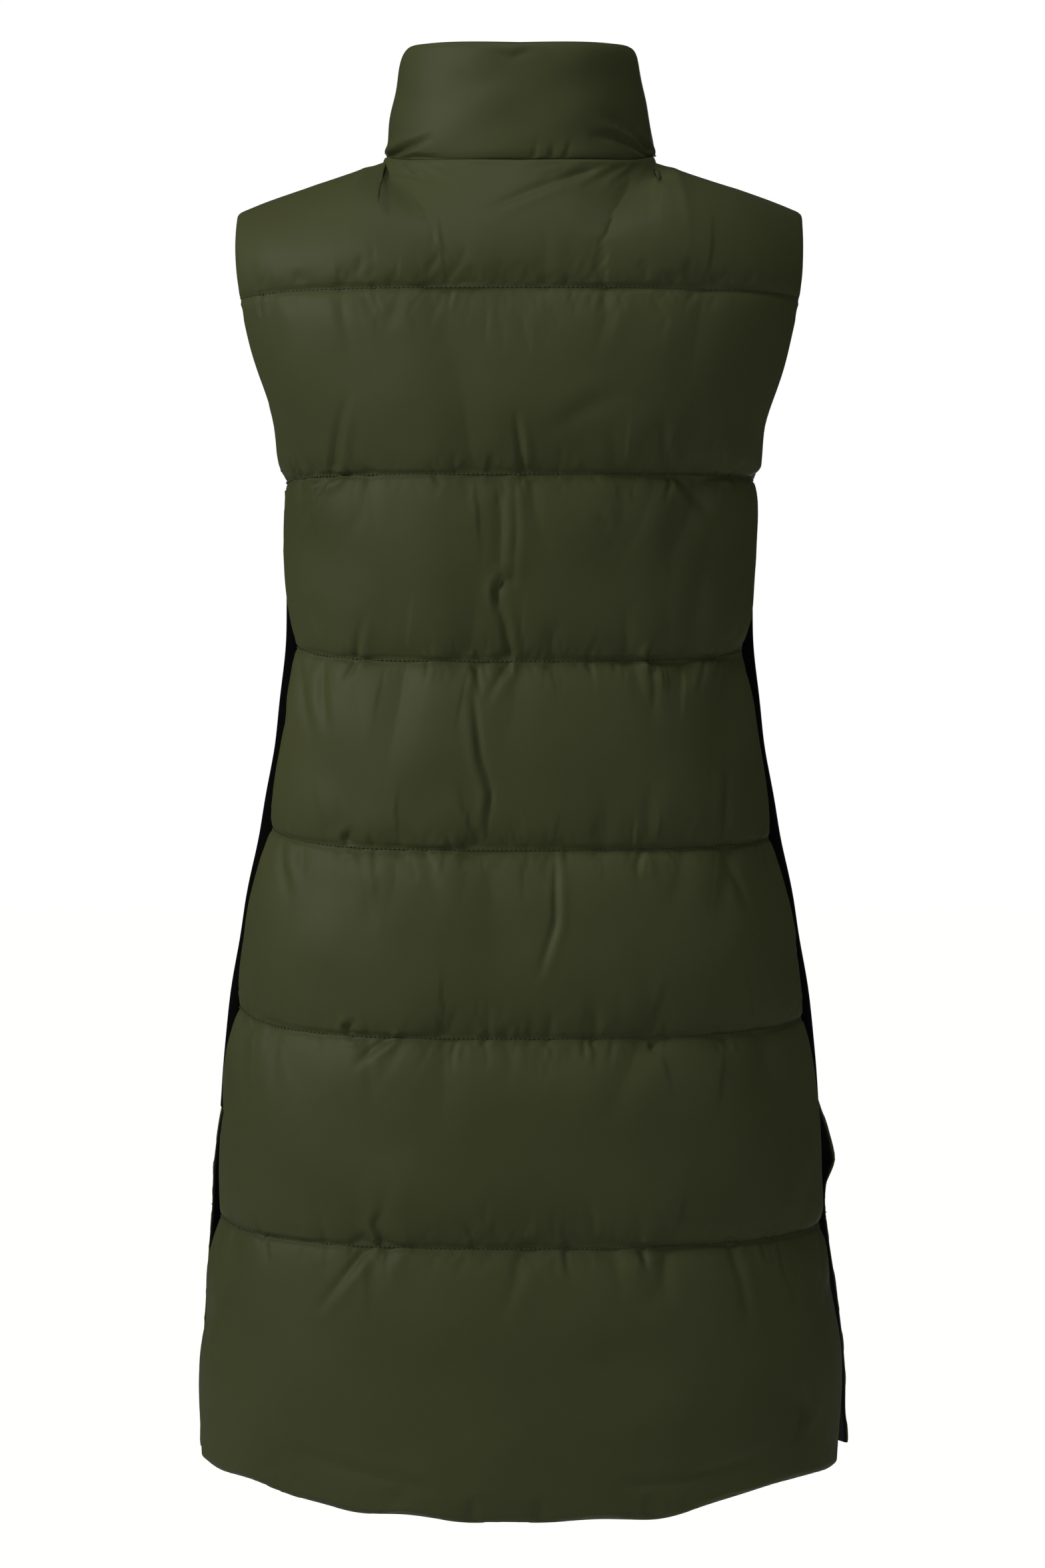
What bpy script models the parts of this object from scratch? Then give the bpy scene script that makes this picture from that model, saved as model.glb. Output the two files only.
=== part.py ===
"""Long quilted puffer vest in its worn form: stand collar, front zip, side vents.

Frame: metres, +Z up, +Y to the wearer's front, +X to the wearer's right hand
side as seen from behind.  The origin is the middle of the neck, at the height
of the collar seam at the centre back.
"""
import math
from collections import namedtuple

import bmesh
import bpy
from mathutils import Vector

MM = 0.001
GAP = 0.3 * MM                    # clear space between neighbouring pieces

# Walls of the padded panels.
SEAM_WALL = 3.2 * MM              # shell, flattened fill and backing at a stitched line
CROWN = 11.0 * MM                 # how far a channel rises above its stitched lines
YOKE_CROWN = 8.0 * MM             # the yoke is filled less
INNER_CROWN = 3.0 * MM            # how far a channel swells towards the body
EDGE_FILL = 0.69                  # share of the crown left at the back's side edge
SIDE_FILL = 0.25                  # the same along the whole side of a front
ZIP_FILL = 0.60                   # the same beside the zip
LINING_WALL = 1.0 * MM
SIDE_WALL = 2.0 * MM              # the unpadded panels under the arms
SIDE_CROWN = 2.0 * MM

# The zip runs up the centre front, between the two front edges.
FRONT_EDGE_X = 12.5 * MM          # a front panel's edge, from the centre line
ZIP_DEPTH = 1.6 * MM              # the tape lies this far under the stitched surface
TAPE_WALL = 0.6 * MM
CHAIN_HALF_WIDTH = 3.0 * MM
CHAIN_WALL = 2.2 * MM

ROUNDNESS = 2.4                   # exponent of the flattened body rings
NECK_SHARE = 0.48                 # share of a panel's top edge that is neckline
RISE_POWER = 3.5                  # how late a quilting line turns up towards the side

# Body rings at the stitched surface.  width is the half width, back and front
# are the half depths.  A panel ends at its angle, from 0 at the centre back to
# 180 at the centre front.  Between the two lies a side panel, and below it a vent.
Ring = namedtuple("Ring", "z width back front back_deg front_deg")
RINGS = (
    Ring(-0.960, 0.2310, 0.153, 0.150, 75, 91),
    Ring(-0.900, 0.2290, 0.152, 0.149, 75, 91),
    Ring(-0.840, 0.2250, 0.150, 0.147, 77, 91),
    Ring(-0.790, 0.2200, 0.148, 0.145, 78, 91),
    Ring(-0.740, 0.2155, 0.146, 0.142, 76, 91),
    Ring(-0.700, 0.2130, 0.144, 0.140, 74, 91),
    Ring(-0.660, 0.2100, 0.142, 0.138, 74, 91),
    Ring(-0.584, 0.2030, 0.138, 0.135, 73, 91),
    Ring(-0.520, 0.1920, 0.131, 0.130, 72, 91),
    Ring(-0.459, 0.1805, 0.124, 0.125, 71, 91),
    Ring(-0.400, 0.1705, 0.117, 0.120, 70, 90),
    Ring(-0.334, 0.1635, 0.111, 0.117, 70, 89),
    Ring(-0.280, 0.1625, 0.112, 0.120, 76, 87),
    Ring(-0.220, 0.1635, 0.117, 0.126, 84, 84),
    Ring(-0.190, 0.1675, 0.118, 0.125, 84, 84),
    Ring(-0.160, 0.1780, 0.118, 0.122, 84, 84),
    Ring(-0.130, 0.1925, 0.116, 0.117, 84, 84),
    Ring(-0.094, 0.2080, 0.112, 0.111, 84, 84),
)

# Quilting lines and hem: heights at the centre back, the side and the centre front.
Line = namedtuple("Line", "back side front")
LINES = (
    Line(-0.094, -0.094, -0.101),
    Line(-0.216, -0.219, -0.222),
    Line(-0.343, -0.336, -0.345),
    Line(-0.471, -0.464, -0.472),
    Line(-0.598, -0.588, -0.598),
    Line(-0.740, -0.734, -0.738),
    Line(-0.926, -0.903, -0.915),
)

# Armhole between the first two lines: where each panel's edge runs on its way down.
Armhole = namedtuple("Armhole", "share back_deg back_z front_deg front_z")
ARMHOLE = (
    Armhole(0.00, 67, -0.094, 128, -0.094),
    Armhole(0.25, 71, -0.138, 123, -0.148),
    Armhole(0.50, 75, -0.177, 113, -0.190),
    Armhole(0.75, 80, -0.206, 98, -0.212),
    Armhole(1.00, 84, -0.219, 84, -0.219),
)
YOKE_ROWS = 6
CHANNEL_ROWS = 4

# Neckline and collar top: half sizes, and heights round from back to front.
Loop = namedtuple("Loop", "width back front heights")
NECK = Loop(0.0945, 0.070, 0.078, ((0, 0.0), (50, 0.002), (95, 0.006), (130, -0.014), (180, -0.046)))
TOP = Loop(0.0830, 0.061, 0.070, ((0, 0.082), (50, 0.0835), (95, 0.082), (130, 0.068), (180, 0.046)))
LOOP_ROUNDNESS = 2.1

# Shoulder seam, just forward of the shoulder's ridge.
SHOULDER_TIP = Vector((0.197, 0.026, -0.038))
SHOULDER_UP = Vector((0.40, 0.0, 0.92)).normalized()
SHOULDER_DEG = 106                # where the seam meets the neckline

SIDE_COLUMNS = (0.0, 0.25, 0.5, 0.75, 1.0)
SIDE_START = 0.2                  # a side panel starts this far down its first facets
COLUMNS = (0.0, 0.16, 0.32, NECK_SHARE, 0.62, 0.75, 0.87, 0.95, 1.0)


# ---------------------------------------------------------------- curves

def curve(points, position):
    """Smooth curve through (key, value) pairs with rising keys."""
    last = len(points) - 1
    index = 0
    while index < last - 1 and position > points[index + 1][0]:
        index += 1
    key0, value0 = points[index]
    key1, value1 = points[index + 1]
    span = key1 - key0
    share = min(max((position - key0) / span, 0.0), 1.0)
    before = points[max(index - 1, 0)]
    after = points[min(index + 2, last)]
    slope0 = (value1 - before[1]) / (key1 - before[0]) * span
    slope1 = (after[1] - value0) / (after[0] - key0) * span
    square = share * share
    cube = square * share
    return ((2 * cube - 3 * square + 1) * value0 + (cube - 2 * square + share) * slope0
            + (3 * square - 2 * cube) * value1 + (cube - square) * slope1)


def ring_value(z, column):
    """One column of RINGS at height z."""
    return curve([(ring.z, getattr(ring, column)) for ring in RINGS], z)


def power_point(theta, width, back, front, roundness):
    """Point of a flattened ring in plan, theta in radians from the centre back."""
    share_x = abs(math.sin(theta)) ** (2 / roundness)
    share_y = abs(math.cos(theta)) ** (2 / roundness)
    if math.cos(theta) > 0:
        return width * share_x, -back * share_y
    return width * share_x, front * share_y


def body_point(theta, z):
    """Point of the stitched body surface."""
    x, y = power_point(theta, ring_value(z, "width"), ring_value(z, "back"),
                       ring_value(z, "front"), ROUNDNESS)
    return Vector((x, y, z))


def ring_normal(point):
    """Level direction out of the body ring at one of its points."""
    depth = ring_value(point.z, "back" if point.y < 0 else "front")
    width = ring_value(point.z, "width")
    across = (point.x / width) ** (ROUNDNESS - 1) / width
    along = (abs(point.y) / depth) ** (ROUNDNESS - 1) / depth
    return Vector((across, math.copysign(along, point.y), 0.0)).normalized()


def loop_point(loop, theta):
    """Point of the neckline or of the collar's top line."""
    x, y = power_point(theta, loop.width, loop.back, loop.front, LOOP_ROUNDNESS)
    return Vector((x, y, curve(loop.heights, math.degrees(theta))))


def centre_angle(width, roundness):
    """Angle at which the front panel's edge stands, just beside the zip."""
    return math.pi - math.asin(((FRONT_EDGE_X + GAP) / width) ** (roundness / 2))


def spread(points, shares):
    """Points at given shares of a polyline's length."""
    lengths = [0.0]
    for first, second in zip(points, points[1:]):
        lengths.append(lengths[-1] + (second - first).length)
    result = []
    index = 0
    for share in shares:
        target = share * lengths[-1]
        while index < len(points) - 2 and lengths[index + 1] < target:
            index += 1
        step = lengths[index + 1] - lengths[index]
        result.append(points[index].lerp(points[index + 1], (target - lengths[index]) / step))
    return result


# ---------------------------------------------------------------- panels

def edge_place(upper, lower, share, is_back):
    """Angle in degrees and height at which a row meets its side edge."""
    if upper is LINES[0]:
        side = "back" if is_back else "front"
        angle = curve([(stop.share, getattr(stop, side + "_deg")) for stop in ARMHOLE], share)
        return angle, curve([(stop.share, getattr(stop, side + "_z")) for stop in ARMHOLE], share)
    side_z = upper.side + (lower.side - upper.side) * share
    angle = ring_value(side_z, "back_deg")
    if not is_back:
        angle = max(angle, ring_value(side_z, "front_deg"))
    return angle, side_z


def body_row(upper, lower, share, is_back):
    """One row of a half panel between two quilting lines, centre to side edge."""
    edge, side_z = edge_place(upper, lower, share, is_back)
    edge = math.radians(edge)
    start = 0.0 if is_back else centre_angle(ring_value(side_z, "width"), ROUNDNESS)
    high = upper.back if is_back else upper.front
    low = lower.back if is_back else lower.front
    middle_z = high + (low - high) * share
    dense = []
    for step in range(81):
        turn = step / 80
        z = middle_z + (side_z - middle_z) * turn ** RISE_POWER
        dense.append(body_point(start + (edge - start) * turn, z))
    seam_slack = GAP / 2 / (dense[-1] - dense[-2]).length
    dense[-1] = dense[-1].lerp(dense[-2], seam_slack)
    return spread(dense, COLUMNS)


def loop_row(loop, is_back):
    """Points of a neck loop from its centre to the shoulder seam, one a column."""
    seam = math.radians(SHOULDER_DEG)
    start = 0.0 if is_back else centre_angle(loop.width, LOOP_ROUNDNESS)
    dense = [loop_point(loop, start + (seam - start) * step / 40) for step in range(41)]
    return spread(dense, [share / NECK_SHARE for share in COLUMNS if share <= NECK_SHARE])


def top_row(is_back):
    """Neckline and shoulder seam of a half panel, centre to shoulder tip."""
    points = loop_row(NECK, is_back)
    corner = points[-1]
    for share in COLUMNS[len(points):]:
        points.append(corner.lerp(SHOULDER_TIP, (share - NECK_SHARE) / (1 - NECK_SHARE)))
    away = -1.0 if is_back else 1.0
    return [point + Vector((0.0, away * GAP, 0.0)) for point in points]


def yoke_rows(is_back):
    """Rows from the top edge down to the first quilting line, over the shoulder."""
    top = top_row(is_back)
    low = body_row(LINES[0], LINES[1], 0.0, is_back)
    forward = 1.0 if is_back else -1.0
    rows = []
    for number in range(YOKE_ROWS):
        share = 1.0 - number / YOKE_ROWS
        row = []
        for column, (start, end) in enumerate(zip(low, top)):
            over = min(max((COLUMNS[column] - 0.25) / 0.3, 0.0), 1.0)
            at_neck = Vector((0.0, forward * 0.40, 0.92))
            at_shoulder = Vector((0.0, forward, -forward * 0.16))
            leave = Vector((0.0, 0.0, 1.0)) * (end - start).length * 1.15
            arrive = at_neck.lerp(at_shoulder, over) * (end - start).length * 1.15
            square = share * share
            cube = square * share
            row.append(start * (2 * cube - 3 * square + 1) + leave * (cube - 2 * square + share)
                       + end * (3 * square - 2 * cube) + arrive * (cube - square))
        rows.append(row)
    return rows


def half_panel(is_back):
    """Stitched surface of a half panel on the +X side, row by row from the top edge.

    With each row goes its share of the way down its channel, and whether that is the yoke.
    """
    rows = yoke_rows(is_back)
    fill = [(number / YOKE_ROWS, True) for number in range(YOKE_ROWS)]
    for upper, lower in zip(LINES, LINES[1:]):
        for number in range(CHANNEL_ROWS):
            share = number / CHANNEL_ROWS
            rows.append(body_row(upper, lower, share, is_back))
            fill.append((share, False))
    rows.append(body_row(LINES[-2], LINES[-1], 1.0, is_back))
    fill.append((1.0, False))
    return rows, fill


def outward(rows, is_back):
    """Unit normals of a half panel, shared with the neighbour along every seam."""
    normals = []
    last_row = len(rows) - 1
    last_column = len(COLUMNS) - 1
    for i, row in enumerate(rows):
        line = []
        for j, point in enumerate(row):
            down = rows[min(i + 1, last_row)][j] - rows[max(i - 1, 0)][j]
            across = row[min(j + 1, last_column)] - row[max(j - 1, 0)]
            normal = down.cross(across) if is_back else across.cross(down)
            if j == 0:
                normal.x = 0.0
            if j == last_column and i >= YOKE_ROWS:
                normal = ring_normal(point)
            if i == 0:
                over = min(max((COLUMNS[j] - 0.32) / 0.2, 0.0), 1.0)
                ring = Vector((point.x, point.y, 0.0)).normalized()
                normal = ring.lerp(SHOULDER_UP, over)
            line.append(normal.normalized())
        normals.append(line)
    return normals


def spread_of_fill(column, is_back, is_yoke, share):
    """Share of the crown at a column: less at the zip, at the side and by the neck."""
    position = COLUMNS[column]
    if is_back:
        amount = 1.0 - (1.0 - EDGE_FILL) * position ** 4
    else:
        by_zip = (1.0 - ZIP_FILL) * (1.0 - position) ** 6
        to_side = min(max((position - 0.45) / 0.4, 0.0), 1.0)
        amount = 1.0 - by_zip - (1.0 - SIDE_FILL) * to_side * to_side * (3 - 2 * to_side)
    if is_yoke:
        from_neck = (position - NECK_SHARE) / 0.15
        amount *= 1.0 - 0.7 * math.exp(-from_neck ** 2) * (1.0 - share) ** 2
    return amount


def panel_layers(is_back):
    """The four skins of a half panel: shell, backing, lining's two faces."""
    rows, fill = half_panel(is_back)
    normals = outward(rows, is_back)
    skins = [[], [], [], []]
    for row, line, (share, is_yoke) in zip(rows, normals, fill):
        crown = YOKE_CROWN if is_yoke else CROWN
        blunt = (4.0 * share * (1.0 - share)) ** 0.55
        depths = []
        for column in range(len(COLUMNS)):
            amount = blunt * spread_of_fill(column, is_back, is_yoke, share)
            inner = SEAM_WALL + INNER_CROWN * amount
            depths.append((crown * amount, -inner, -inner - GAP, -inner - GAP - LINING_WALL))
        for number, skin in enumerate(skins):
            skin.append([point + normal * depth[number]
                         for point, normal, depth in zip(row, line, depths)])
    return skins


def side_skins():
    """Outer and inner skin of the side panel on the +X side, armhole to vent top."""
    rows = []
    for number in range(CHANNEL_ROWS * 4 - CHANNEL_ROWS // 2 + 1):
        channel, step = divmod(number, CHANNEL_ROWS)
        upper, lower = LINES[channel + 1], LINES[channel + 2]
        z = upper.side + (lower.side - upper.side) * step / CHANNEL_ROWS
        start = math.radians(ring_value(z, "back_deg"))
        end = max(math.radians(ring_value(z, "front_deg")), start + 1e-5)
        dense = [body_point(start + (end - start) * step / 40, z) for step in range(41)]
        if number:
            dense[0] += (dense[1] - dense[0]).normalized() * GAP
            dense[-1] += (dense[-2] - dense[-1]).normalized() * GAP
        rows.append(spread(dense, SIDE_COLUMNS))
    rows[0] = [above.lerp(below, SIDE_START) for above, below in zip(rows[0], rows[1])]
    skins = [[], []]
    for row in rows:
        normals = [ring_normal(point) for point in row]
        crowns = [SIDE_CROWN * 4 * share * (1 - share) for share in SIDE_COLUMNS]
        skins[0].append([point + normal * crown
                         for point, normal, crown in zip(row, normals, crowns)])
        skins[1].append([point - normal * SIDE_WALL for point, normal in zip(row, normals)])
    return skins


def mirrored(rows):
    """A half panel's rows on the -X side, from the edge to the centre."""
    return [[Vector((-point.x, point.y, point.z)) for point in reversed(row)] for row in rows]


def joined(rows):
    """Both halves of the back in one, without a seam at the centre."""
    return [left[:-1] + right for left, right in zip(mirrored(rows), rows)]


# ---------------------------------------------------------------- meshes

def material(name, colour, roughness, metallic=0.0):
    """A plain Principled material."""
    shader = bpy.data.materials.new(name)
    shader.use_nodes = True
    principled = shader.node_tree.nodes["Principled BSDF"]
    principled.inputs["Base Color"].default_value = (*colour, 1.0)
    principled.inputs["Roughness"].default_value = roughness
    principled.inputs["Metallic"].default_value = metallic
    return shader


def add_object(name, mesh_builder, shader):
    """Turn a bmesh into a named object with closed faces pointing out."""
    bmesh.ops.recalc_face_normals(mesh_builder, faces=mesh_builder.faces)
    mesh = bpy.data.meshes.new(name)
    mesh_builder.to_mesh(mesh)
    mesh_builder.free()
    mesh.materials.append(shader)
    piece = bpy.data.objects.new(name, mesh)
    bpy.context.scene.collection.objects.link(piece)
    return piece


def add_wall(name, outer, inner, shader):
    """A closed wall between two skins that have the same rows and columns."""
    builder = bmesh.new()
    height = len(outer)
    width = len(outer[0])
    skins = [[[builder.verts.new(point) for point in row] for row in skin]
             for skin in (outer, inner)]
    for skin in skins:
        for i in range(height - 1):
            for j in range(width - 1):
                corner = [skin[i][j], skin[i][j + 1], skin[i + 1][j + 1], skin[i + 1][j]]
                if corner[0].co.x + corner[1].co.x < 0:      # halves mirror each other
                    corner = corner[1:] + corner[:1]
                builder.faces.new((corner[0], corner[1], corner[2]))
                builder.faces.new((corner[0], corner[2], corner[3]))
    border = ([(0, j) for j in range(width)]
              + [(i, width - 1) for i in range(1, height)]
              + [(height - 1, j) for j in range(width - 2, -1, -1)]
              + [(i, 0) for i in range(height - 2, 0, -1)])
    for (i, j), (k, m) in zip(border, border[1:] + border[:1]):
        builder.faces.new((skins[0][i][j], skins[0][k][m], skins[1][k][m]))
        builder.faces.new((skins[0][i][j], skins[1][k][m], skins[1][i][j]))
    return add_object(name, builder, shader)


def add_sweep(name, sections, shader):
    """A closed bar through sections of equally many points, with flat ends."""
    builder = bmesh.new()
    loops = [[builder.verts.new(point) for point in section] for section in sections]
    for first, second in zip(loops, loops[1:]):
        for j in range(len(first)):
            k = (j + 1) % len(first)
            builder.faces.new((first[j], first[k], second[k]))
            builder.faces.new((first[j], second[k], second[j]))
    caps = [builder.faces.new(loops[0]), builder.faces.new(loops[-1])]
    bmesh.ops.triangulate(builder, faces=caps)
    return add_object(name, builder, shader)


# ---------------------------------------------------------------- collar

# Section of the padded collar: share of its height, and inset from its outer line.
Stop = namedtuple("Stop", "height inset")
COLLAR_SECTION = (
    Stop(0.000, 1.5 * MM), Stop(0.100, -0.4 * MM), Stop(0.300, -0.6 * MM),
    Stop(0.600, 0.2 * MM), Stop(0.850, 0.8 * MM), Stop(0.960, 2.6 * MM),
    Stop(1.000, 6.5 * MM), Stop(0.960, 11.0 * MM), Stop(0.850, 14.0 * MM),
    Stop(0.500, 15.0 * MM), Stop(0.090, 10.5 * MM), Stop(0.000, 4.5 * MM),
)
STATIONS_A_COLUMN = 2             # the collar's foot follows the facets of the neckline


def half_loop(loop):
    """A neck loop from the centre back to the zip, in the panels' own facets."""
    corners = loop_row(loop, True) + loop_row(loop, False)[-2::-1]
    points = [corners[0]]
    for first, second in zip(corners, corners[1:]):
        for step in range(1, STATIONS_A_COLUMN + 1):
            points.append(first.lerp(second, step / STATIONS_A_COLUMN))
    return points


def collar_sections():
    """Sections from the left zip edge round the back to the right one."""
    right = []
    for foot, head in zip(half_loop(NECK), half_loop(TOP)):
        section = []
        for stop in COLLAR_SECTION:
            point = (foot + Vector((0.0, 0.0, GAP))).lerp(head, stop.height)
            ring = Vector((point.x, point.y * 1.2, 0.0)).normalized()
            section.append(point - ring * stop.inset)
        right.append(section)
    for point in right[-1]:
        point.x = FRONT_EDGE_X + GAP
    left = [[Vector((-point.x, point.y, point.z)) for point in section] for section in right]
    return left[:0:-1] + right


# ---------------------------------------------------------------- zip

CHAIN_SHARES = (0.15, 0.35, 0.55, 0.70, 0.86)     # up the collar: the teeth stop at the slider
TAPE_SHARES = CHAIN_SHARES + (0.97,)


def centre_front(collar_shares):
    """Centre front line, hem to collar, with its outward directions."""
    rows, _ = half_panel(False)
    points = [Vector((0.0, row[0].y, row[0].z)) for row in reversed(rows)]
    for share in collar_shares:
        low = loop_point(NECK, math.pi)
        point = low.lerp(loop_point(TOP, math.pi), share)
        points.append(point)
    directions = []
    for index in range(len(points)):
        along = points[min(index + 1, len(points) - 1)] - points[max(index - 1, 0)]
        directions.append(Vector((0.0, along.z, -along.y)).normalized())
    return points, directions


def strip_sections(x_low, x_high, thickness, collar_shares):
    """Sections of a flat strip that follows the centre front line."""
    points, directions = centre_front(collar_shares)
    sections = []
    for point, out in zip(points, directions):
        section = []
        for x, lift in ((x_low, -0.5), (x_high, -0.5), (x_high, 0.5), (x_low, 0.5)):
            level = out * (lift * thickness - ZIP_DEPTH)
            section.append(point + level + Vector((x, 0.0, 0.0)))
        sections.append(section)
    return sections


# Slider and pull, in the slider's own frame: x across, y out, z up the zip.
SLIDER_LENGTH = 9.0 * MM
SLIDER_TOP_HALF = 4.4 * MM
SLIDER_LOW_HALF = 3.4 * MM
PLATE = 1.1 * MM
BRIDGE_HALF = 2.0 * MM            # the wedge that holds the two plates together
WEDGE_LENGTH = 2.4 * MM
BAIL_HALF = 1.0 * MM
BAIL_HOLE = 1.1 * MM              # half size of the hole the pull's bar turns in
BAIL_WALL = 0.9 * MM
BAR_HALF = 0.55 * MM
PULL_HALF = 3.6 * MM
PULL_LENGTH = 30.0 * MM
WINDOW_HALF = 1.7 * MM
WINDOW_LENGTH = 5.0 * MM


def box_faces(builder, low, high):
    """Add a box to a bmesh and return its vertices."""
    made = bmesh.ops.create_cube(builder, size=1.0)["verts"]
    middle = (Vector(low) + Vector(high)) / 2
    size = Vector(high) - Vector(low)
    for vertex in made:
        vertex.co = Vector((vertex.co.x * size.x, vertex.co.y * size.y, vertex.co.z * size.z))
        vertex.co += middle
    return made


def slider_frame():
    """Middle of the slider on the zip line, and the zip's up and out directions."""
    points, directions = centre_front(CHAIN_SHARES)
    out = directions[-1]
    up = Vector((0.0, -out.z, out.y))
    wedge_low = SLIDER_LENGTH / 2 - WEDGE_LENGTH
    middle = points[-1] - out * ZIP_DEPTH - up * (wedge_low - GAP)
    return middle, up, out


def place(builder):
    """Move a bmesh from the slider's own frame onto the zip."""
    middle, up, out = slider_frame()
    for vertex in builder.verts:
        x, y, z = vertex.co
        vertex.co = middle + Vector((x, 0.0, 0.0)) + out * y + up * z


def extruded(builder, outline, y_low, y_high):
    """Prism of an x, z outline between two depths."""
    face = builder.faces.new([builder.verts.new((x, y_low, z)) for x, z in outline])
    made = bmesh.ops.extrude_face_region(builder, geom=[face])["geom"]
    moved = [item for item in made if isinstance(item, bmesh.types.BMVert)]
    bmesh.ops.translate(builder, verts=moved, vec=(0.0, y_high - y_low, 0.0))


def union(name, builders, shader):
    """One closed object from several closed bodies."""
    pieces = [add_object(name if index == 0 else f"{name}_cutter{index}", builder, shader)
              for index, builder in enumerate(builders)]
    for helper in pieces[1:]:
        helper.hide_render = True
        helper.display_type = "WIRE"
        join = pieces[0].modifiers.new(helper.name, "BOOLEAN")
        join.operation = "UNION"
        join.object = helper
    return pieces[0]


def plate_outline():
    """Shield outline of a slider plate, wide at the top."""
    half = SLIDER_LENGTH / 2
    return ((-SLIDER_LOW_HALF, -half), (SLIDER_LOW_HALF, -half), (SLIDER_TOP_HALF, -0.1 * half),
            (SLIDER_TOP_HALF, 0.6 * half), (0.6 * SLIDER_TOP_HALF, half),
            (-0.6 * SLIDER_TOP_HALF, half), (-SLIDER_TOP_HALF, 0.6 * half),
            (-SLIDER_TOP_HALF, -0.1 * half))


def axis_offset():
    """How far the pull's bar stands in front of the zip's middle plane."""
    return CHAIN_WALL / 2 + GAP + PLATE + BAIL_HOLE - 0.1 * MM


def add_slider(shader):
    """Two plates, the wedge between them, and the bail for the pull."""
    inner = CHAIN_WALL / 2 + GAP
    half = SLIDER_LENGTH / 2
    front, rear = bmesh.new(), bmesh.new()
    for plate, side in ((front, 1.0), (rear, -1.0)):
        extruded(plate, plate_outline(), side * inner, side * (inner + PLATE))
        place(plate)
    wedge = bmesh.new()
    box_faces(wedge, (-BRIDGE_HALF, -inner - PLATE / 2, half - WEDGE_LENGTH),
              (BRIDGE_HALF, inner + PLATE / 2, half - 0.4 * MM))
    place(wedge)
    bail = bmesh.new()
    reach = BAIL_HOLE + BAIL_WALL
    depth = axis_offset()
    face = inner + PLATE - 0.2 * MM
    outer = depth + reach
    rim = ((face, -reach), (outer - 0.8 * MM, -reach), (outer, -reach + 0.8 * MM),
           (outer, reach - 0.8 * MM), (outer - 0.8 * MM, reach), (face, reach),
           (face, BAIL_HOLE), (depth + BAIL_HOLE, BAIL_HOLE),
           (depth + BAIL_HOLE, -BAIL_HOLE), (face, -BAIL_HOLE))
    cap = bail.faces.new([bail.verts.new((-BAIL_HALF, y, z)) for y, z in rim])
    made = bmesh.ops.extrude_face_region(bail, geom=[cap])["geom"]
    moved = [item for item in made if isinstance(item, bmesh.types.BMVert)]
    bmesh.ops.translate(bail, verts=moved, vec=(2 * BAIL_HALF, 0.0, 0.0))
    place(bail)
    return union("zip_slider", [front, wedge, rear, bail], shader)


def add_pull(shader):
    """Flat pull with a window; its top bar turns in the slider's bail."""
    depth = axis_offset()
    builder = bmesh.new()
    outline = ((-PULL_HALF, BAR_HALF), (PULL_HALF, BAR_HALF), (PULL_HALF, -PULL_LENGTH + 1.5 * MM),
               (PULL_HALF - 1.5 * MM, -PULL_LENGTH), (-PULL_HALF + 1.5 * MM, -PULL_LENGTH),
               (-PULL_HALF, -PULL_LENGTH + 1.5 * MM))
    extruded(builder, outline, depth - BAR_HALF, depth + BAR_HALF)
    place(builder)
    window = bmesh.new()
    box_faces(window, (-WINDOW_HALF, depth - 3 * MM, -WINDOW_LENGTH - BAR_HALF),
              (WINDOW_HALF, depth + 3 * MM, -BAR_HALF))
    place(window)
    pull = add_object("zip_pull", builder, shader)
    cutter = add_object("pull_window_cutter", window, shader)
    cutter.hide_render = True
    cutter.display_type = "WIRE"
    cut = pull.modifiers.new("window", "BOOLEAN")
    cut.operation = "DIFFERENCE"
    cut.object = cutter
    return pull


# ---------------------------------------------------------------- the vest

for old in list(bpy.data.objects):
    bpy.data.objects.remove(old, do_unlink=True)

SHELL = material("olive_shell", (0.060, 0.066, 0.030), 0.5)
LINING = material("dark_lining", (0.012, 0.010, 0.012), 0.6)
TAPE = material("dark_tape", (0.020, 0.021, 0.014), 0.8)
METAL = material("dark_metal", (0.050, 0.050, 0.045), 0.35, metallic=1.0)

back_skins = [joined(skin) for skin in panel_layers(True)]
add_wall("back", back_skins[0], back_skins[1], SHELL)
add_wall("lining_back", back_skins[2], back_skins[3], LINING)

right_skins = panel_layers(False)
left_skins = [mirrored(skin) for skin in right_skins]
for label, skins in (("left", left_skins), ("right", right_skins)):
    add_wall(f"front_{label}", skins[0], skins[1], SHELL)
    add_wall(f"lining_front_{label}", skins[2], skins[3], LINING)

right_side = side_skins()
for label, skins in (("left", [mirrored(skin) for skin in right_side]), ("right", right_side)):
    add_wall(f"side_{label}", skins[0], skins[1], LINING)

add_sweep("collar", collar_sections(), SHELL)

tape_low = CHAIN_HALF_WIDTH + GAP
tape_high = FRONT_EDGE_X - GAP
add_sweep("zip_tape_right", strip_sections(tape_low, tape_high, TAPE_WALL, TAPE_SHARES), TAPE)
add_sweep("zip_tape_left", strip_sections(-tape_high, -tape_low, TAPE_WALL, TAPE_SHARES), TAPE)
chain = strip_sections(-CHAIN_HALF_WIDTH, CHAIN_HALF_WIDTH, CHAIN_WALL, CHAIN_SHARES)
add_sweep("zip_chain", chain, METAL)
add_slider(METAL)
add_pull(METAL)
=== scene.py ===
"""Long quilted puffer vest in its worn shape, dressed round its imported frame.

Metres, in the frame's own axes: +Z is up, the wearer faces +Y, and the origin is
the middle of the neck at the height of the collar seam.
"""
import math
from collections import namedtuple

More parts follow.
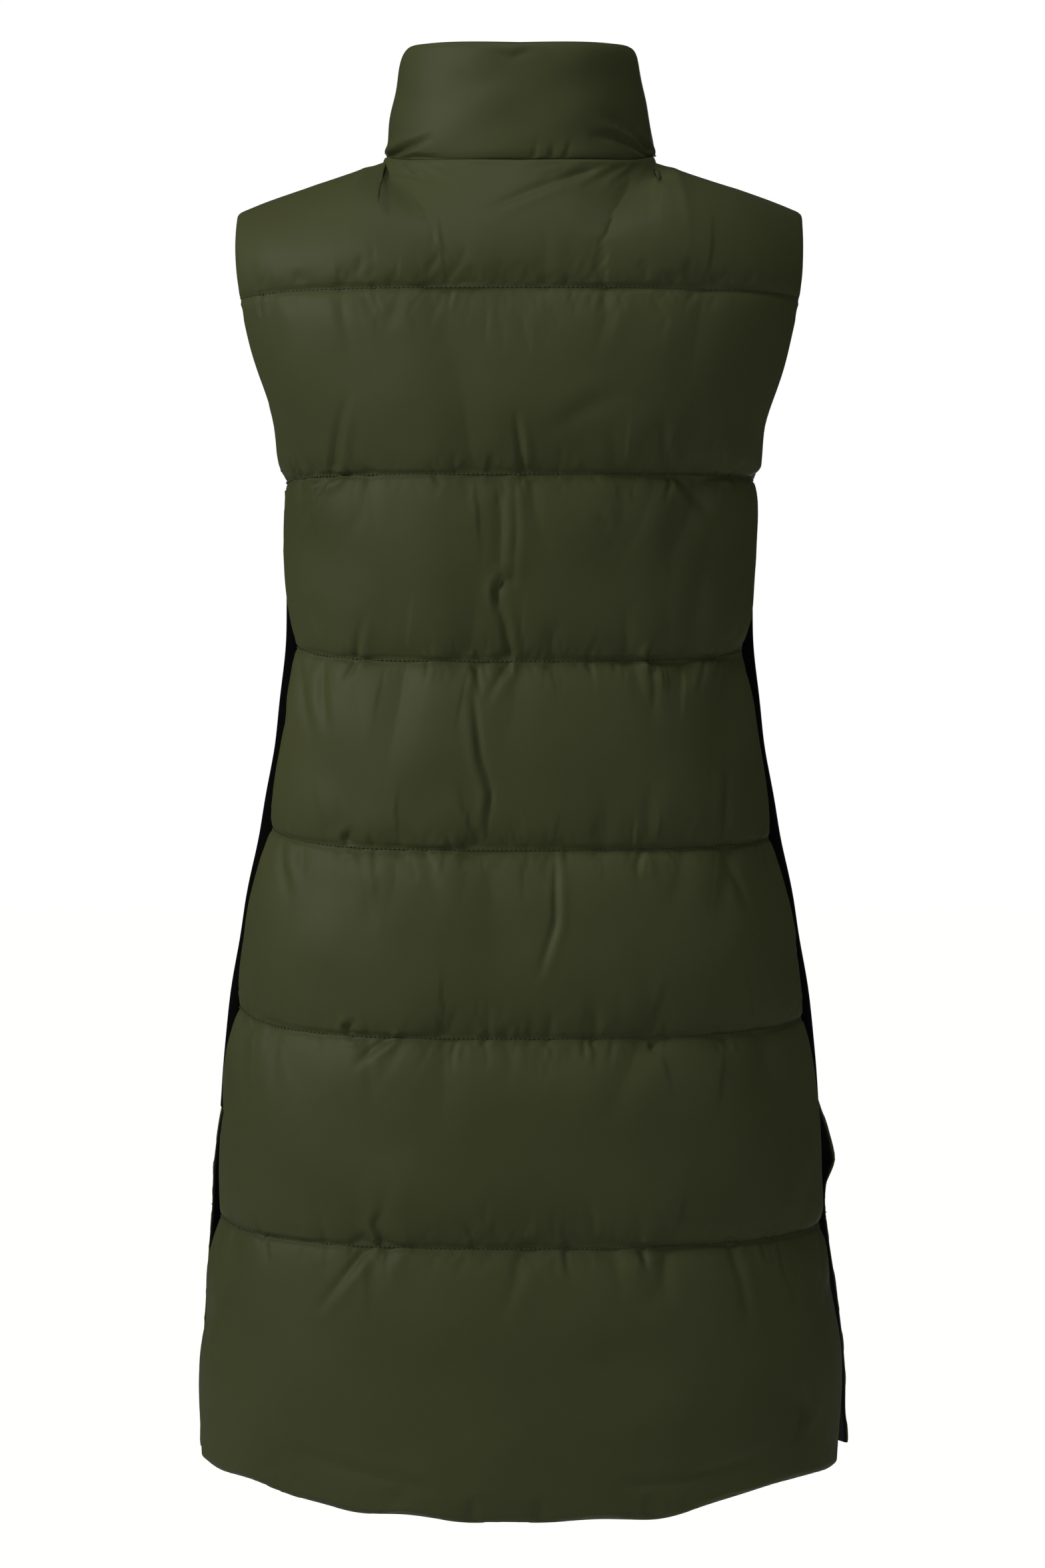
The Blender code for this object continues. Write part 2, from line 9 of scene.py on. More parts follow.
import bmesh
import bpy
import numpy as np
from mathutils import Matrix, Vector


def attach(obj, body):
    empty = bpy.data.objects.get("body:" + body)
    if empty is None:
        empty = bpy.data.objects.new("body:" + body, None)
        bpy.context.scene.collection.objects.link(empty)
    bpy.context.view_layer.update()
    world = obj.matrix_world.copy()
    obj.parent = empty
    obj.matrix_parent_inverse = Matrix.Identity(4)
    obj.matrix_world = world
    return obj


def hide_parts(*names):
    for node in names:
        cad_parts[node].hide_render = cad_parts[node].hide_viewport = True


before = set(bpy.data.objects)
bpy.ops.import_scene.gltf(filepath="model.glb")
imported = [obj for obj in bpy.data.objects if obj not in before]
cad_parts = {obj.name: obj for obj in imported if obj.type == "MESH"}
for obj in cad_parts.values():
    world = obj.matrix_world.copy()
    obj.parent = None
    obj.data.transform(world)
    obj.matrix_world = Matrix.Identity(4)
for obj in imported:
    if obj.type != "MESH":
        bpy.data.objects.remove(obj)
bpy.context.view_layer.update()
MM = 0.001


# ================ studio
# A pale floor at the wearer's feet and a pale surround.  One broad soft light hangs
# behind the camera, high on its left; weaker ones light the front and the top.

FLOOR_Z = -1.42
CAMERA_DISTANCE = 3.2
CAMERA_HEIGHT = -0.279
AIM = Vector((0.002, 0.0, -0.432))
FRAME_HEIGHT = 1.1054  # what the picture's height spans at the vest
SENSOR = 36.0
PAPER = (0.80, 0.80, 0.79, 1.0)
SURROUND_GLOW = 0.05  # how brightly the surround lights the vest

Light = namedtuple("Light", "name place size watts colour")
LIT = Vector((0.0, 0.0, -0.45))  # what the lights point at
LIGHTS = (
    Light("key", (-2.45, -1.4, 1.2), 1.1, 72, (1.0, 0.99, 0.97)),
    Light("fill", (1.9, -2.9, 0.6), 2.0, 20, (1.0, 1.0, 1.0)),
    Light("front", (0.1, 3.4, -0.1), 1.6, 44, (1.0, 0.99, 0.98)),
    Light("top", (-0.1, -0.5, 2.3), 1.0, 20, (1.0, 1.0, 1.0)),
)


class Shader:
    """A material under construction: nodes, links and the maths between them."""

    def __init__(self, name):
        self.material = bpy.data.materials.new(name)
        self.material.use_nodes = True
        self.tree = self.material.node_tree
        self.surface = self.tree.nodes["Principled BSDF"]
        self.output = self.tree.nodes["Material Output"]

    def node(self, kind, settings=None, out=0, **sockets):
        """Any other node: its type, its settings, then values or links for its sockets."""
        made = self.tree.nodes.new("ShaderNode" + kind)
        for key, value in (settings or {}).items():
            if key == "stops":
                ramp = made.color_ramp
                while len(ramp.elements) < len(value):
                    ramp.elements.new(0.5)
                for element, (place, grey) in zip(ramp.elements, value):
                    element.position = place
                    element.color = (grey, grey, grey, 1.0)
            else:
                setattr(made, key, value)
        for key, value in sockets.items():
            name = int(key[1:]) if key[0] == "_" else key.replace("_", " ")
            self.feed(made.inputs[name], value)
        return Wire(self, made.outputs[out])

    def feed(self, socket, value):
        """Link or set one input socket."""
        if isinstance(value, Wire):
            self.tree.links.new(value.socket, socket)
        else:
            socket.default_value = value

    def mottled(self, noise, darkest, colour):
        """A colour that sinks to a darkest share of itself where the noise is low."""
        tone = self.node("ValToRGB", {"stops": ((0.3, darkest), (0.7, 1.0))}, Fac=noise)
        return self.node("Mix", {"data_type": "RGBA", "blend_type": "MULTIPLY"}, out=2,
                         _0=1.0, _6=(*colour, 1.0), _7=tone)

    def set(self, **sockets):
        """Feed the shader's own sockets."""
        for key, value in sockets.items():
            self.feed(self.surface.inputs[key.replace("_", " ")], value)


class Wire:
    """An output socket; adding to it or multiplying it makes a Math node."""

    def __init__(self, shader, socket):
        self.shader = shader
        self.socket = socket

    def __add__(self, other):
        return self.shader.node("Math", {"operation": "ADD"}, _0=self, _1=other)

    def __mul__(self, other):
        return self.shader.node("Math", {"operation": "MULTIPLY"}, _0=self, _1=other)


def added(name, data):
    """An object for a mesh, a light or a camera, in the scene."""
    piece = bpy.data.objects.new(name, data)
    bpy.context.scene.collection.objects.link(piece)
    return piece


def turned_to(piece, aim):
    """Points a light or the camera at a place."""
    piece.rotation_euler = (aim - piece.location).to_track_quat("-Z", "Y").to_euler()


def add_light(light):
    """One soft square light."""
    data = bpy.data.lights.new(light.name, "AREA")
    data.shape = "RECTANGLE"
    data.size = data.size_y = light.size
    data.energy = light.watts
    data.color = light.colour
    lamp = added(light.name, data)
    lamp.location = light.place
    turned_to(lamp, LIT)


def add_studio():
    """Floor, surround, lights and camera."""
    bpy.ops.object.select_all(action="DESELECT")
    bpy.ops.mesh.primitive_plane_add(size=24.0, location=(0.0, 0.0, FLOOR_Z))
    floor = bpy.context.object
    floor.name = "studio_floor"
    paper = Shader("pale_paper")
    paper.set(Base_Color=PAPER, Roughness=0.9)
    glow = paper.node("Emission", Color=(1.0, 1.0, 0.99, 1.0), Strength=1.0)
    seen = paper.node("LightPath")
    lit = Wire(paper, paper.surface.outputs[0])
    mixed = paper.node("MixShader", _0=seen, _1=lit, _2=glow)
    paper.feed(paper.output.inputs["Surface"], mixed)
    floor.data.materials.append(paper.material)

    world = bpy.data.worlds.new("studio_surround")
    world.use_nodes = True
    nodes, links = world.node_tree.nodes, world.node_tree.links
    shine = nodes["Background"]
    shine.inputs["Color"].default_value = (1.0, 1.0, 1.0, 1.0)
    path = nodes.new("ShaderNodeLightPath")
    level = nodes.new("ShaderNodeMapRange")
    level.inputs["To Min"].default_value = SURROUND_GLOW
    level.inputs["To Max"].default_value = 1.0
    links.new(path.outputs["Is Camera Ray"], level.inputs["Value"])
    links.new(level.outputs["Result"], shine.inputs["Strength"])
    bpy.context.scene.world = world
    bpy.context.scene.view_settings.view_transform = "Standard"

    for light in LIGHTS:
        add_light(light)

    data = bpy.data.cameras.new("camera")
    data.sensor_width = SENSOR
    data.lens = SENSOR * CAMERA_DISTANCE / FRAME_HEIGHT
    camera = added("camera", data)
    camera.location = (AIM.x, -CAMERA_DISTANCE, CAMERA_HEIGHT)
    turned_to(camera, AIM)
    bpy.context.scene.camera = camera


add_studio()


# ================ cutting the panels
# Every sewn panel follows one stitched surface round the wearer: flattened rings from
# hem to chest, then a yoke over the shoulders to the neckline.  A panel is a grid on it.

SEAM_WALL = 3.2 * MM  # shell, flattened fill and backing at a stitched line
CROWN = 11.0 * MM  # how far a channel stands over its stitched lines
YOKE_CROWN = 8.0 * MM
INNER_CROWN = 3.0 * MM  # how far a channel swells towards the body
EDGE_FILL = 0.69  # share of the crown left at the back's side edge
SIDE_FILL = 0.25  # the same along the whole side of a front
ZIP_FILL = 0.60  # the same beside the zip
HEM_FILL = 0.55  # the same at the hem
SIDE_EDGE = 0.88  # a front's last fill thins out from this share across
SIDE_THINNING = 0.7  # and by this much at its edge
NECK_REACH = 0.60  # the neckline flattens the yoke this far past its corner
NECK_HOLD = 0.9  # and by this much
NECK_BUNCH = 1.15  # the fill that bunches at the corner instead,
NECK_BUNCH_WIDTH = 0.050  # within this share across
WALL_THINS_AT = 0.93  # a front's wall thins out from this share across
WALL_THINNING = 0.7  # and by this much at its edge
HEM_WAVES = 1.3 * MM
EDGE_ROLL = 6.0 * MM  # a panel's shell rolls over within this of its edge
FRONT_EDGE_X = 12.5 * MM
GAP = 0.3 * MM
ROUNDNESS = 2.4
LOOP_ROUNDNESS = 2.1
NECK_SHARE = 0.48
RISE_POWER = 3.5  # how late a quilting line turns up towards the side
HEM_TURNS = (0.0, 0.20, 0.45, 0.64, 0.80, 1.0)  # the hem turns up earlier
HEM_RISES = (0.0, 0.05, 0.40, 0.80, 0.94, 1.0)

Ring = namedtuple("Ring", "z width back front back_deg front_deg")
RINGS = (
    Ring(-0.960, 0.2280, 0.153, 0.150, 75, 91),
    Ring(-0.900, 0.2262, 0.152, 0.149, 75, 91),
    Ring(-0.840, 0.2236, 0.150, 0.147, 77, 91),
    Ring(-0.790, 0.2200, 0.148, 0.145, 78, 91),
    Ring(-0.740, 0.2155, 0.146, 0.142, 76, 91),
    Ring(-0.700, 0.2130, 0.144, 0.140, 74, 91),
    Ring(-0.660, 0.2100, 0.142, 0.138, 74, 91),
    Ring(-0.584, 0.2030, 0.138, 0.135, 73, 91),
    Ring(-0.520, 0.1920, 0.131, 0.130, 72, 91),
    Ring(-0.459, 0.1805, 0.124, 0.125, 71, 91),
    Ring(-0.400, 0.1705, 0.117, 0.120, 70, 90),
    Ring(-0.334, 0.1635, 0.111, 0.117, 70, 89),
    Ring(-0.280, 0.1625, 0.112, 0.120, 76, 87),
    Ring(-0.220, 0.1635, 0.117, 0.126, 84, 84),
    Ring(-0.190, 0.1675, 0.118, 0.125, 84, 84),
    Ring(-0.160, 0.1780, 0.118, 0.122, 84, 84),
    Ring(-0.130, 0.1925, 0.116, 0.117, 84, 84),
    Ring(-0.094, 0.2080, 0.112, 0.111, 84, 84),
)

# Quilting lines and hem: heights at the centre back, the two sides and the centre front.
Line = namedtuple("Line", "back left right front")
LINES = (
    Line(-0.0895, -0.095, -0.095, -0.101),
    Line(-0.216, -0.220, -0.218, -0.222),
    Line(-0.343, -0.334, -0.337, -0.345),
    Line(-0.471, -0.460, -0.467, -0.472),
    Line(-0.598, -0.584, -0.592, -0.598),
    Line(-0.740, -0.731, -0.737, -0.738),
    Line(-0.926, -0.903, -0.903, -0.915),
)

# How far each front's edge stands out at its vent, in millimetres, and where it starts to.
FLARE_HEIGHTS = (-0.920, -0.893, -0.880, -0.850, -0.800, -0.760,
                 -0.735, -0.715, -0.700, -0.675, -0.650)
FLARES = {
    "left": (1.0, 1.5, 2.0, 2.5, 3.0, 4.0, 4.0, 4.5, 4.5, 3.0, 0.0),
    "right": (7.0, 8.0, 7.0, 8.0, 6.0, 3.5, 2.5, 4.5, 11.0, 7.0, 0.0),
}
FLARE_START = 0.75  # share of the way from the zip to the side

Armhole = namedtuple("Armhole", "share back_deg back_z front_deg front_z")
ARMHOLE = (
    Armhole(0.00, 67, -0.094, 128, -0.094),
    Armhole(0.25, 71, -0.138, 123, -0.148),
    Armhole(0.50, 75, -0.177, 113, -0.190),
    Armhole(0.75, 80, -0.206, 98, -0.212),
    Armhole(1.00, 84, -0.219, 84, -0.219),
)

Loop = namedtuple("Loop", "width back front heights")
LOOP_DEGREES = (0, 50, 95, 130, 180)
NECK = Loop(0.0945, 0.070, 0.078, (0.0, 0.002, 0.006, -0.014, -0.046))
TOP = Loop(0.0830, 0.061, 0.070, (0.0820, 0.0835, 0.082, 0.068, 0.046))
SHOULDER_TIP = np.array((0.199, 0.026, -0.0365))
SHOULDER_UP = np.array((0.40, 0.0, 0.92))
SHOULDER_DEG = 106
YOKE_BULGE = 1.15  # how strongly the yoke bows out on its way over the shoulder
CROWDING = 0.085  # how much closer together rows stand at a channel's ends

# Shares of a half row at which the grid's columns stand, closer together at an edge.
TO_EDGE = (0.953, 0.972, 0.986, 0.995, 1.0)
BACK_COLUMNS = np.r_[np.linspace(0.0, 0.93, 70), TO_EDGE]
FRONT_COLUMNS = np.r_[0.0, 0.005, 0.014, 0.028, 0.047, np.linspace(0.07, 0.93, 65), TO_EDGE]
TO_HEM = (0.036, 0.025, 0.015, 0.006, 0.0015, 0.0)
YOKE_ROWS = 24
CHANNEL_ROWS = (19, 19, 19, 19, 21, 27)


def hermite(t, start, leave, end, arrive):
    """Cubic curve from a start to an end that leaves and arrives at given slopes."""
    return (start * (2 * t**3 - 3 * t**2 + 1) + leave * (t**3 - 2 * t**2 + t)
            + end * (3 * t**2 - 2 * t**3) + arrive * (t**3 - t**2))


def smooth(keys, values, at):
    """Smooth curve through keyed values, keys rising."""
    keys = np.asarray(keys, float)
    values = np.asarray(values, float)
    slopes = np.r_[(values[1] - values[0]) / (keys[1] - keys[0]),
                   (values[2:] - values[:-2]) / (keys[2:] - keys[:-2]),
                   (values[-1] - values[-2]) / (keys[-1] - keys[-2])]
    index = np.clip(np.searchsorted(keys, at) - 1, 0, len(keys) - 2)
    span = keys[index + 1] - keys[index]
    t = np.clip((at - keys[index]) / span, 0.0, 1.0)
    return hermite(t, values[index], slopes[index] * span,
                   values[index + 1], slopes[index + 1] * span)


def looked_up(table, column, at):
    """Smooth values from one column of a table, keyed by its first column."""
    return smooth([row[0] for row in table], [getattr(row, column) for row in table], at)


def from_rings(column, z):
    """One column of RINGS at heights z."""
    return looked_up(RINGS, column, z)


def flattened(theta, width, back, front, roundness):
    """Plan of a flattened ring, theta in radians from the centre back."""
    x = width * np.abs(np.sin(theta)) ** (2 / roundness)
    reach = np.abs(np.cos(theta)) ** (2 / roundness)
    return x, np.where(np.cos(theta) > 0, -back * reach, front * reach)


def body_points(theta, z):
    """Points of the stitched body surface."""
    x, y = flattened(theta, from_rings("width", z), from_rings("back", z),
                     from_rings("front", z), ROUNDNESS)
    return np.stack((x, y, z), axis=-1)


def ring_normals(points):
    """Level unit normals of the body surface at points on it."""
    x, y, z = np.moveaxis(points, -1, 0)
    depth = np.where(y < 0, from_rings("back", z), from_rings("front", z))
    width = from_rings("width", z)
    return unit(np.stack((np.sign(x) * np.abs(x / width) ** (ROUNDNESS - 1) / width,
                          np.sign(y) * np.abs(y / depth) ** (ROUNDNESS - 1) / depth,
                          0.0 * z), axis=-1))


def loop_points(loop, theta):
    """Points of the neckline or of the collar's top line."""
    x, y = flattened(theta, loop.width, loop.back, loop.front, LOOP_ROUNDNESS)
    return np.stack((x, y, smooth(LOOP_DEGREES, loop.heights, np.degrees(theta))), axis=-1)


def centre_angle(width, roundness):
    """Angle at which a front panel's edge stands, just beside the zip."""
    return math.pi - math.asin(((FRONT_EDGE_X + GAP) / width) ** (roundness / 2))


def unit(vectors):
    """Vectors of length one."""
    return vectors / np.linalg.norm(vectors, axis=-1, keepdims=True)


def run_of(points):
    """Length along a polyline, or along each row of a grid."""
    steps = np.linalg.norm(np.diff(points, axis=-2), axis=-1)
    return np.concatenate((0.0 * steps[..., :1], np.cumsum(steps, axis=-1)), axis=-1)


def spread(points, shares):
    """Points at given shares of a polyline's length."""
    lengths = run_of(points)
    at = np.asarray(shares) * lengths[-1]
    return np.stack([np.interp(at, lengths, points[:, axis]) for axis in range(3)], axis=-1)


def body_row(number, share, is_back, side, columns):
    """A row of a half panel between two quilting lines, centre to side edge."""
    upper, lower = LINES[number], LINES[number + 1]
    face = "back" if is_back else "front"
    if number == 0:
        edge = float(looked_up(ARMHOLE, face + "_deg", share))
        side_z = float(looked_up(ARMHOLE, face + "_z", share))
        side_z += (getattr(lower, side) - ARMHOLE[-1].back_z) * share**3
    else:
        high, low = getattr(upper, side), getattr(lower, side)
        side_z = high + (low - high) * share
        edge = float(from_rings("back_deg", side_z))
        if not is_back:
            edge = max(edge, float(from_rings("front_deg", side_z)))
    edge = math.radians(edge)
    start = 0.0 if is_back else centre_angle(float(from_rings("width", side_z)), ROUNDNESS)
    high, low = getattr(upper, face), getattr(lower, face)
    middle_z = high + (low - high) * share
    turn = np.linspace(0.0, 1.0, 161)
    rise = turn**RISE_POWER
    if number == len(LINES) - 2:
        rise += (smooth(HEM_TURNS, HEM_RISES, turn) - rise) * share
    z = middle_z + (side_z - middle_z) * rise
    points = body_points(start + (edge - start) * turn, z)
    points[-1] += unit(points[-2] - points[-1]) * GAP / 2
    if not is_back:
        flare = smooth(FLARE_HEIGHTS, FLARES[side], z) * MM * (z < FLARE_HEIGHTS[-1])
        points[:, 0] += flare * np.clip((turn - FLARE_START) / (1 - FLARE_START), 0.0, 1.0) ** 2
    return spread(points, columns)


def top_row(is_back, columns):
    """Neckline and shoulder seam of a half panel, centre to shoulder tip."""
    shoulder = math.radians(SHOULDER_DEG)
    start = 0.0 if is_back else centre_angle(NECK.width, LOOP_ROUNDNESS)
    neckline = spread(loop_points(NECK, np.linspace(start, shoulder, 81)),
                      np.clip(columns / NECK_SHARE, 0.0, 1.0))
    out = np.clip((columns - NECK_SHARE) / (1 - NECK_SHARE), 0.0, 1.0)[:, None]
    row = neckline + out * (SHOULDER_TIP - neckline[-1])
    return row + np.array((0.0, -GAP if is_back else GAP, 0.0))


def yoke_rows(is_back, side, columns, shares):
    """Rows from the first quilting line (0) over the shoulder to the top edge (1)."""
    top = top_row(is_back, columns)
    low = body_row(0, 0.0, is_back, side, columns)
    forward = 1.0 if is_back else -1.0
    over = np.clip((columns - 0.25) / 0.3, 0.0, 1.0)[:, None]
    at_neck = np.array((0.0, forward * 0.40, 0.92))
    at_shoulder = np.array((0.0, forward, -forward * 0.16))
    chord = np.linalg.norm(top - low, axis=1)[:, None] * YOKE_BULGE
    leave = np.array((0.0, 0.0, 1.0)) * chord
    arrive = (at_neck + (at_shoulder - at_neck) * over) * chord
    return [hermite(t, low, leave, top, arrive) for t in shares]


def crowded(count):
    """Shares from 0 to 1, closer together near both ends."""
    t = np.linspace(0.0, 1.0, count + 1)
    return t - CROWDING * np.sin(2 * math.pi * t)


def half_panel(is_back, side, columns):
    """Stitched surface from hem to top edge; each row's channel and share from its top."""
    top_down = crowded(YOKE_ROWS)
    rows = yoke_rows(is_back, side, columns, 1.0 - top_down)
    places = [(0, share) for share in top_down]
    for number, count in enumerate(CHANNEL_ROWS):
        shares = crowded(count)[1:]
        if number == len(CHANNEL_ROWS) - 1:
            shares = np.r_[shares[:-4], 1 - np.array(TO_HEM)]
        for share in shares:
            rows.append(body_row(number, share, is_back, side, columns))
            places.append((number + 1, share))
    return np.array(rows[::-1]), places[::-1]


def out_of_body(points, places, across, sides, facing):
    """Unit normals of a panel, level and shared with the neighbour along its side seams."""
    normals = np.cross(np.gradient(points, axis=1), np.gradient(points, axis=0))
    if normals[len(normals) // 2, len(across) // 2, 1] * facing < 0:
        normals = -normals
    normals = unit(normals)
    on_body = np.array([channel > 0 for channel, _ in places])
    for column in sides:
        normals[on_body, column] = ring_normals(points[:, column])[on_body]
    top = points[-1]
    over = np.clip((np.abs(across) - 0.32) / 0.2, 0.0, 1.0)[:, None]
    way = np.sign(top[:, :1])
    shoulder = way * np.array((SHOULDER_UP[0], 0.0, 0.0)) + SHOULDER_UP * (0, 0, 1)
    level = unit(top * np.array((1.0, 1.0, 0.0)))
    normals[-1] = unit(level + (shoulder - level) * over)
    return normals


def spread_of_fill(across, places, is_back):
    """Share of the crown over a panel: less at its lines, zip edge, sides and neck."""
    share = np.array([place[1] for place in places])[:, None]
    u = np.abs(across)[None, :]
    if is_back:
        along = 1 - (1 - EDGE_FILL) * u**4
    else:
        to_side = np.clip((u - 0.45) / 0.4, 0.0, 1.0)
        by_side = (1 - SIDE_FILL) * to_side**2 * (3 - 2 * to_side)
        along = 1 - (1 - ZIP_FILL) * (1 - u) ** 6 - by_side
        at_edge = np.clip((u - SIDE_EDGE) / (1 - SIDE_EDGE), 0.0, 1.0)
        along *= 1 - SIDE_THINNING * at_edge**2
    from_neck = np.clip((u - NECK_SHARE) / NECK_REACH, 0.0, 1.0)
    bunched = NECK_BUNCH * np.exp(-((u - NECK_SHARE) / NECK_BUNCH_WIDTH) ** 2)
    pressed = NECK_HOLD * (1 - from_neck**2 * (3 - 2 * from_neck)) - bunched
    by_neck = 1 - pressed * (1 - share.clip(0.0, 1.0)) ** 1.5
    in_yoke = np.array([place[0] == 0 for place in places])[:, None]
    profile = (4 * share * (1 - share)).clip(0.0) ** 0.55
    in_last = np.array([place[0] == len(CHANNEL_ROWS) for place in places])[:, None]
    to_hem = 1 - (1 - HEM_FILL) * (2 * share - 1) ** 2
    profile = np.where(in_last & (share > 0.5), to_hem, profile)
    return profile * along * np.where(in_yoke, by_neck, 1.0)


def waves(points, seed, count, lengths):
    """Seeded soft noise about 0 over a grid of points: a sum of sine waves."""
    random = np.random.default_rng(seed)
    total = np.zeros(points.shape[:2])
    for _ in range(count):
        direction = unit(random.normal(size=3)) / random.uniform(*lengths)
        total += np.sin(2 * math.pi * points @ direction + random.uniform(0.0, 2 * math.pi))
    return total / math.sqrt(count / 2)


Cut = namedtuple("Cut", "points normals places across amount crown wall")


def cut_panel(is_back, side=None):
    """One panel's stitched surface, with the share of the crown at each point."""
    columns = across = BACK_COLUMNS if is_back else FRONT_COLUMNS
    points, places = half_panel(is_back, side or "right", columns)
    if is_back:
        left, _ = half_panel(True, "left", columns)
        points = np.concatenate((left[:, :0:-1] * np.array((-1.0, 1.0, 1.0)), points), axis=1)
        across = np.r_[-columns[:0:-1], columns]
    elif side == "left":
        points = points * np.array((-1.0, 1.0, 1.0))
    to_hem = np.array([place[1] if place[0] == len(CHANNEL_ROWS) else 0.0 for place in places])
    hem_waves = HEM_WAVES * waves(points * np.array((1, 1, 0)), 71, 6, (0.04, 0.11))
    points[..., 2] += hem_waves * to_hem[:, None] ** 3
    if is_back:
        wall = SEAM_WALL
        normals = out_of_body(points, places, across, (0, -1), -1)
    else:
        thinned = np.clip((across - WALL_THINS_AT) / (1 - WALL_THINS_AT), 0.0, 1.0)
        wall = SEAM_WALL * (1 - WALL_THINNING * thinned)
        normals = out_of_body(points, places, across, (-1,), 1)
        normals[:, 0] = unit(normals[:, 0] * np.array((0.0, 1.0, 1.0)))
    amount = spread_of_fill(across, places, is_back)
    crown = np.array([YOKE_CROWN if place[0] == 0 else CROWN for place in places])[:, None]
    return Cut(points, normals, places, across, amount, crown, wall)


# ================ filling and quilting
# A panel's shell is blown up from its stitched lines as cloth, then its creases and the
# puckers along the lines are laid in.  Shell, backing and rim make one closed piece.

CLOTH = {"quality": 4, "mass": 0.2, "tension_stiffness": 12, "compression_stiffness": 12,
         "shear_stiffness": 4, "bending_stiffness": 0.3, "air_damping": 6.0,
         "use_pressure": True, "shrink_min": -0.004}
FRAMES = 22  # how long the fill presses
PRESSURE = 2.2  # of the fill on the shell, as a cloth force
PANEL_RELIEF = 1.7  # how strongly the creases drawn for a panel are laid in
SMOOTH_EDGE = 4 * MM  # creases fade out within this of a side edge
SMOOTH_SEAM = 0.7 * MM  # and where the shell stands less than this off its seam
DEEPEST = 0.6 * MM  # how far a crease may sink below the stitched surface
MOST_CORNERS = 6  # of a face that isn't cut into triangles


def rolled(cut, height):
    """The shell's height with side edges and hem rolled over to meet the backing."""
    run = run_of(cut.points)
    to_edge = np.minimum(run, run[:, -1:] - run)
    to_hem = np.swapaxes(run_of(np.swapaxes(cut.points, 0, 1)), 0, 1)
    turn = 1 - np.clip(np.minimum(to_edge, to_hem) / EDGE_ROLL, 0.0, 1.0)
    return -cut.wall / 2 + (height + cut.wall / 2) * np.sqrt(1 - turn**2)


def blown_up(name, cut, shell):
    """The shell after a short press from inside, held along its lines and edges."""
    height, width = cut.points.shape[:2]
    bpy.ops.object.select_all(action="DESELECT")
    bpy.ops.mesh.primitive_grid_add(x_subdivisions=width - 1, y_subdivisions=height - 1)
    sheet = bpy.context.object
    sheet.name = name
    sheet.data.vertices.foreach_set("co", shell.astype(np.float32).ravel())
    sheet.data.update()
    held = sheet.vertex_groups.new(name="stitched")
    for row, (_, share) in enumerate(cut.places):
        for column in range(width):
            if share in (0.0, 1.0) or column in (0, width - 1):
                held.add([row * width + column], 1.0, "REPLACE")
    cloth = sheet.modifiers.new("fill", "CLOTH")
    settings = cloth.settings
    for key, value in CLOTH.items():
        setattr(settings, key, value)
    middle = height // 2, width // 2
    faced = np.cross(np.gradient(cut.points, axis=1), np.gradient(cut.points, axis=0))[middle]
    outward = float(faced @ cut.normals[middle])
    settings.uniform_pressure_force = math.copysign(PRESSURE, outward)
    settings.vertex_group_mass = held.name
    settings.effector_weights.gravity = 0.0
    cloth.collision_settings.use_collision = False
    cloth.point_cache.frame_start = 1
    cloth.point_cache.frame_end = FRAMES
    for number in range(1, FRAMES + 1):
        bpy.context.scene.frame_set(number)
    settled = sheet.evaluated_get(bpy.context.evaluated_depsgraph_get()).to_mesh()
    result = np.zeros(height * width * 3, np.float32)
    settled.vertices.foreach_get("co", result)
    bpy.data.objects.remove(sheet)
    bpy.context.scene.frame_set(1)
    return result.reshape(height, width, 3).astype(float)


def finer(grid):
    """A grid with a smooth new row and column between each two."""
    for axis in (0, 1):
        grid = np.moveaxis(grid, axis, 0)
        padded = np.concatenate((2 * grid[:1] - grid[1:2], grid, 2 * grid[-1:] - grid[-2:-1]))
        between = (9 * (grid[:-1] + grid[1:]) - padded[:-3] - padded[3:]) / 16
        made = np.empty((len(grid) * 2 - 1,) + grid.shape[1:])
        made[::2] = grid
        made[1::2] = between
        grid = np.moveaxis(made, 0, axis)
    return grid


# A crease: its line on the panel, depth and half width, all in millimetres.
Crease = namedtuple("Crease", "line depth width from_line")


def seam(depth, width, *line):
    """A crease that starts at a stitched line, where it is deepest."""
    return Crease(line, depth, width, True)


def free(depth, width, *line):
    """A crease that fades at both ends."""
    return Crease(line, depth, width, False)


def crease_field(flat, creases):
    """How far a panel's surface sinks (below 0) or rises: a fold on one side of each line."""
    total = np.zeros(flat.shape[:2])
    random = np.random.default_rng(len(creases))
    for crease in creases:
        line = np.array(crease.line) * MM
        half_width = crease.width * MM
        reach = 3.5 * half_width
        low, high = line.min(axis=0) - reach, line.max(axis=0) + reach
        near = ((flat > low) & (flat < high)).all(axis=-1)
        spot = flat[near]
        if not len(spot):
            continue
        lengths = run_of(line)
        best = np.full(len(spot), np.inf)
        signed = np.zeros(len(spot))
        along = np.zeros(len(spot))
        for index, (first, second) in enumerate(zip(line, line[1:])):
            step = second - first
            length = np.linalg.norm(step)
            t = np.clip((spot - first) @ step / length**2, 0.0, 1.0)
            off = spot - first - t[:, None] * step
            distance = np.linalg.norm(off, axis=1)
            closer = distance < best
            best = np.where(closer, distance, best)
            turn = np.sign(step[0] * off[:, 1] - step[1] * off[:, 0])
            signed = np.where(closer, distance * turn, signed)
            along = np.where(closer, (lengths[index] + t * length) / lengths[-1], along)
        s = random.choice((-1.0, 1.0)) * signed / half_width
        groove = -0.90 * np.clip(1 - np.abs(s), 0.0, 1.0) ** 1.4 - 0.20 * np.exp(-(s / 2.0) ** 2)
        ridge = 0.45 * np.exp(-((s - 1.3) / 0.9) ** 2)
        if crease.from_line:
            fade = (1 - along) ** 0.7
        else:
            fade = np.sin(math.pi * along.clip(0.04, 0.96)) ** 0.6
        total[near] += crease.depth * MM * (groove + ridge) * fade
    return total


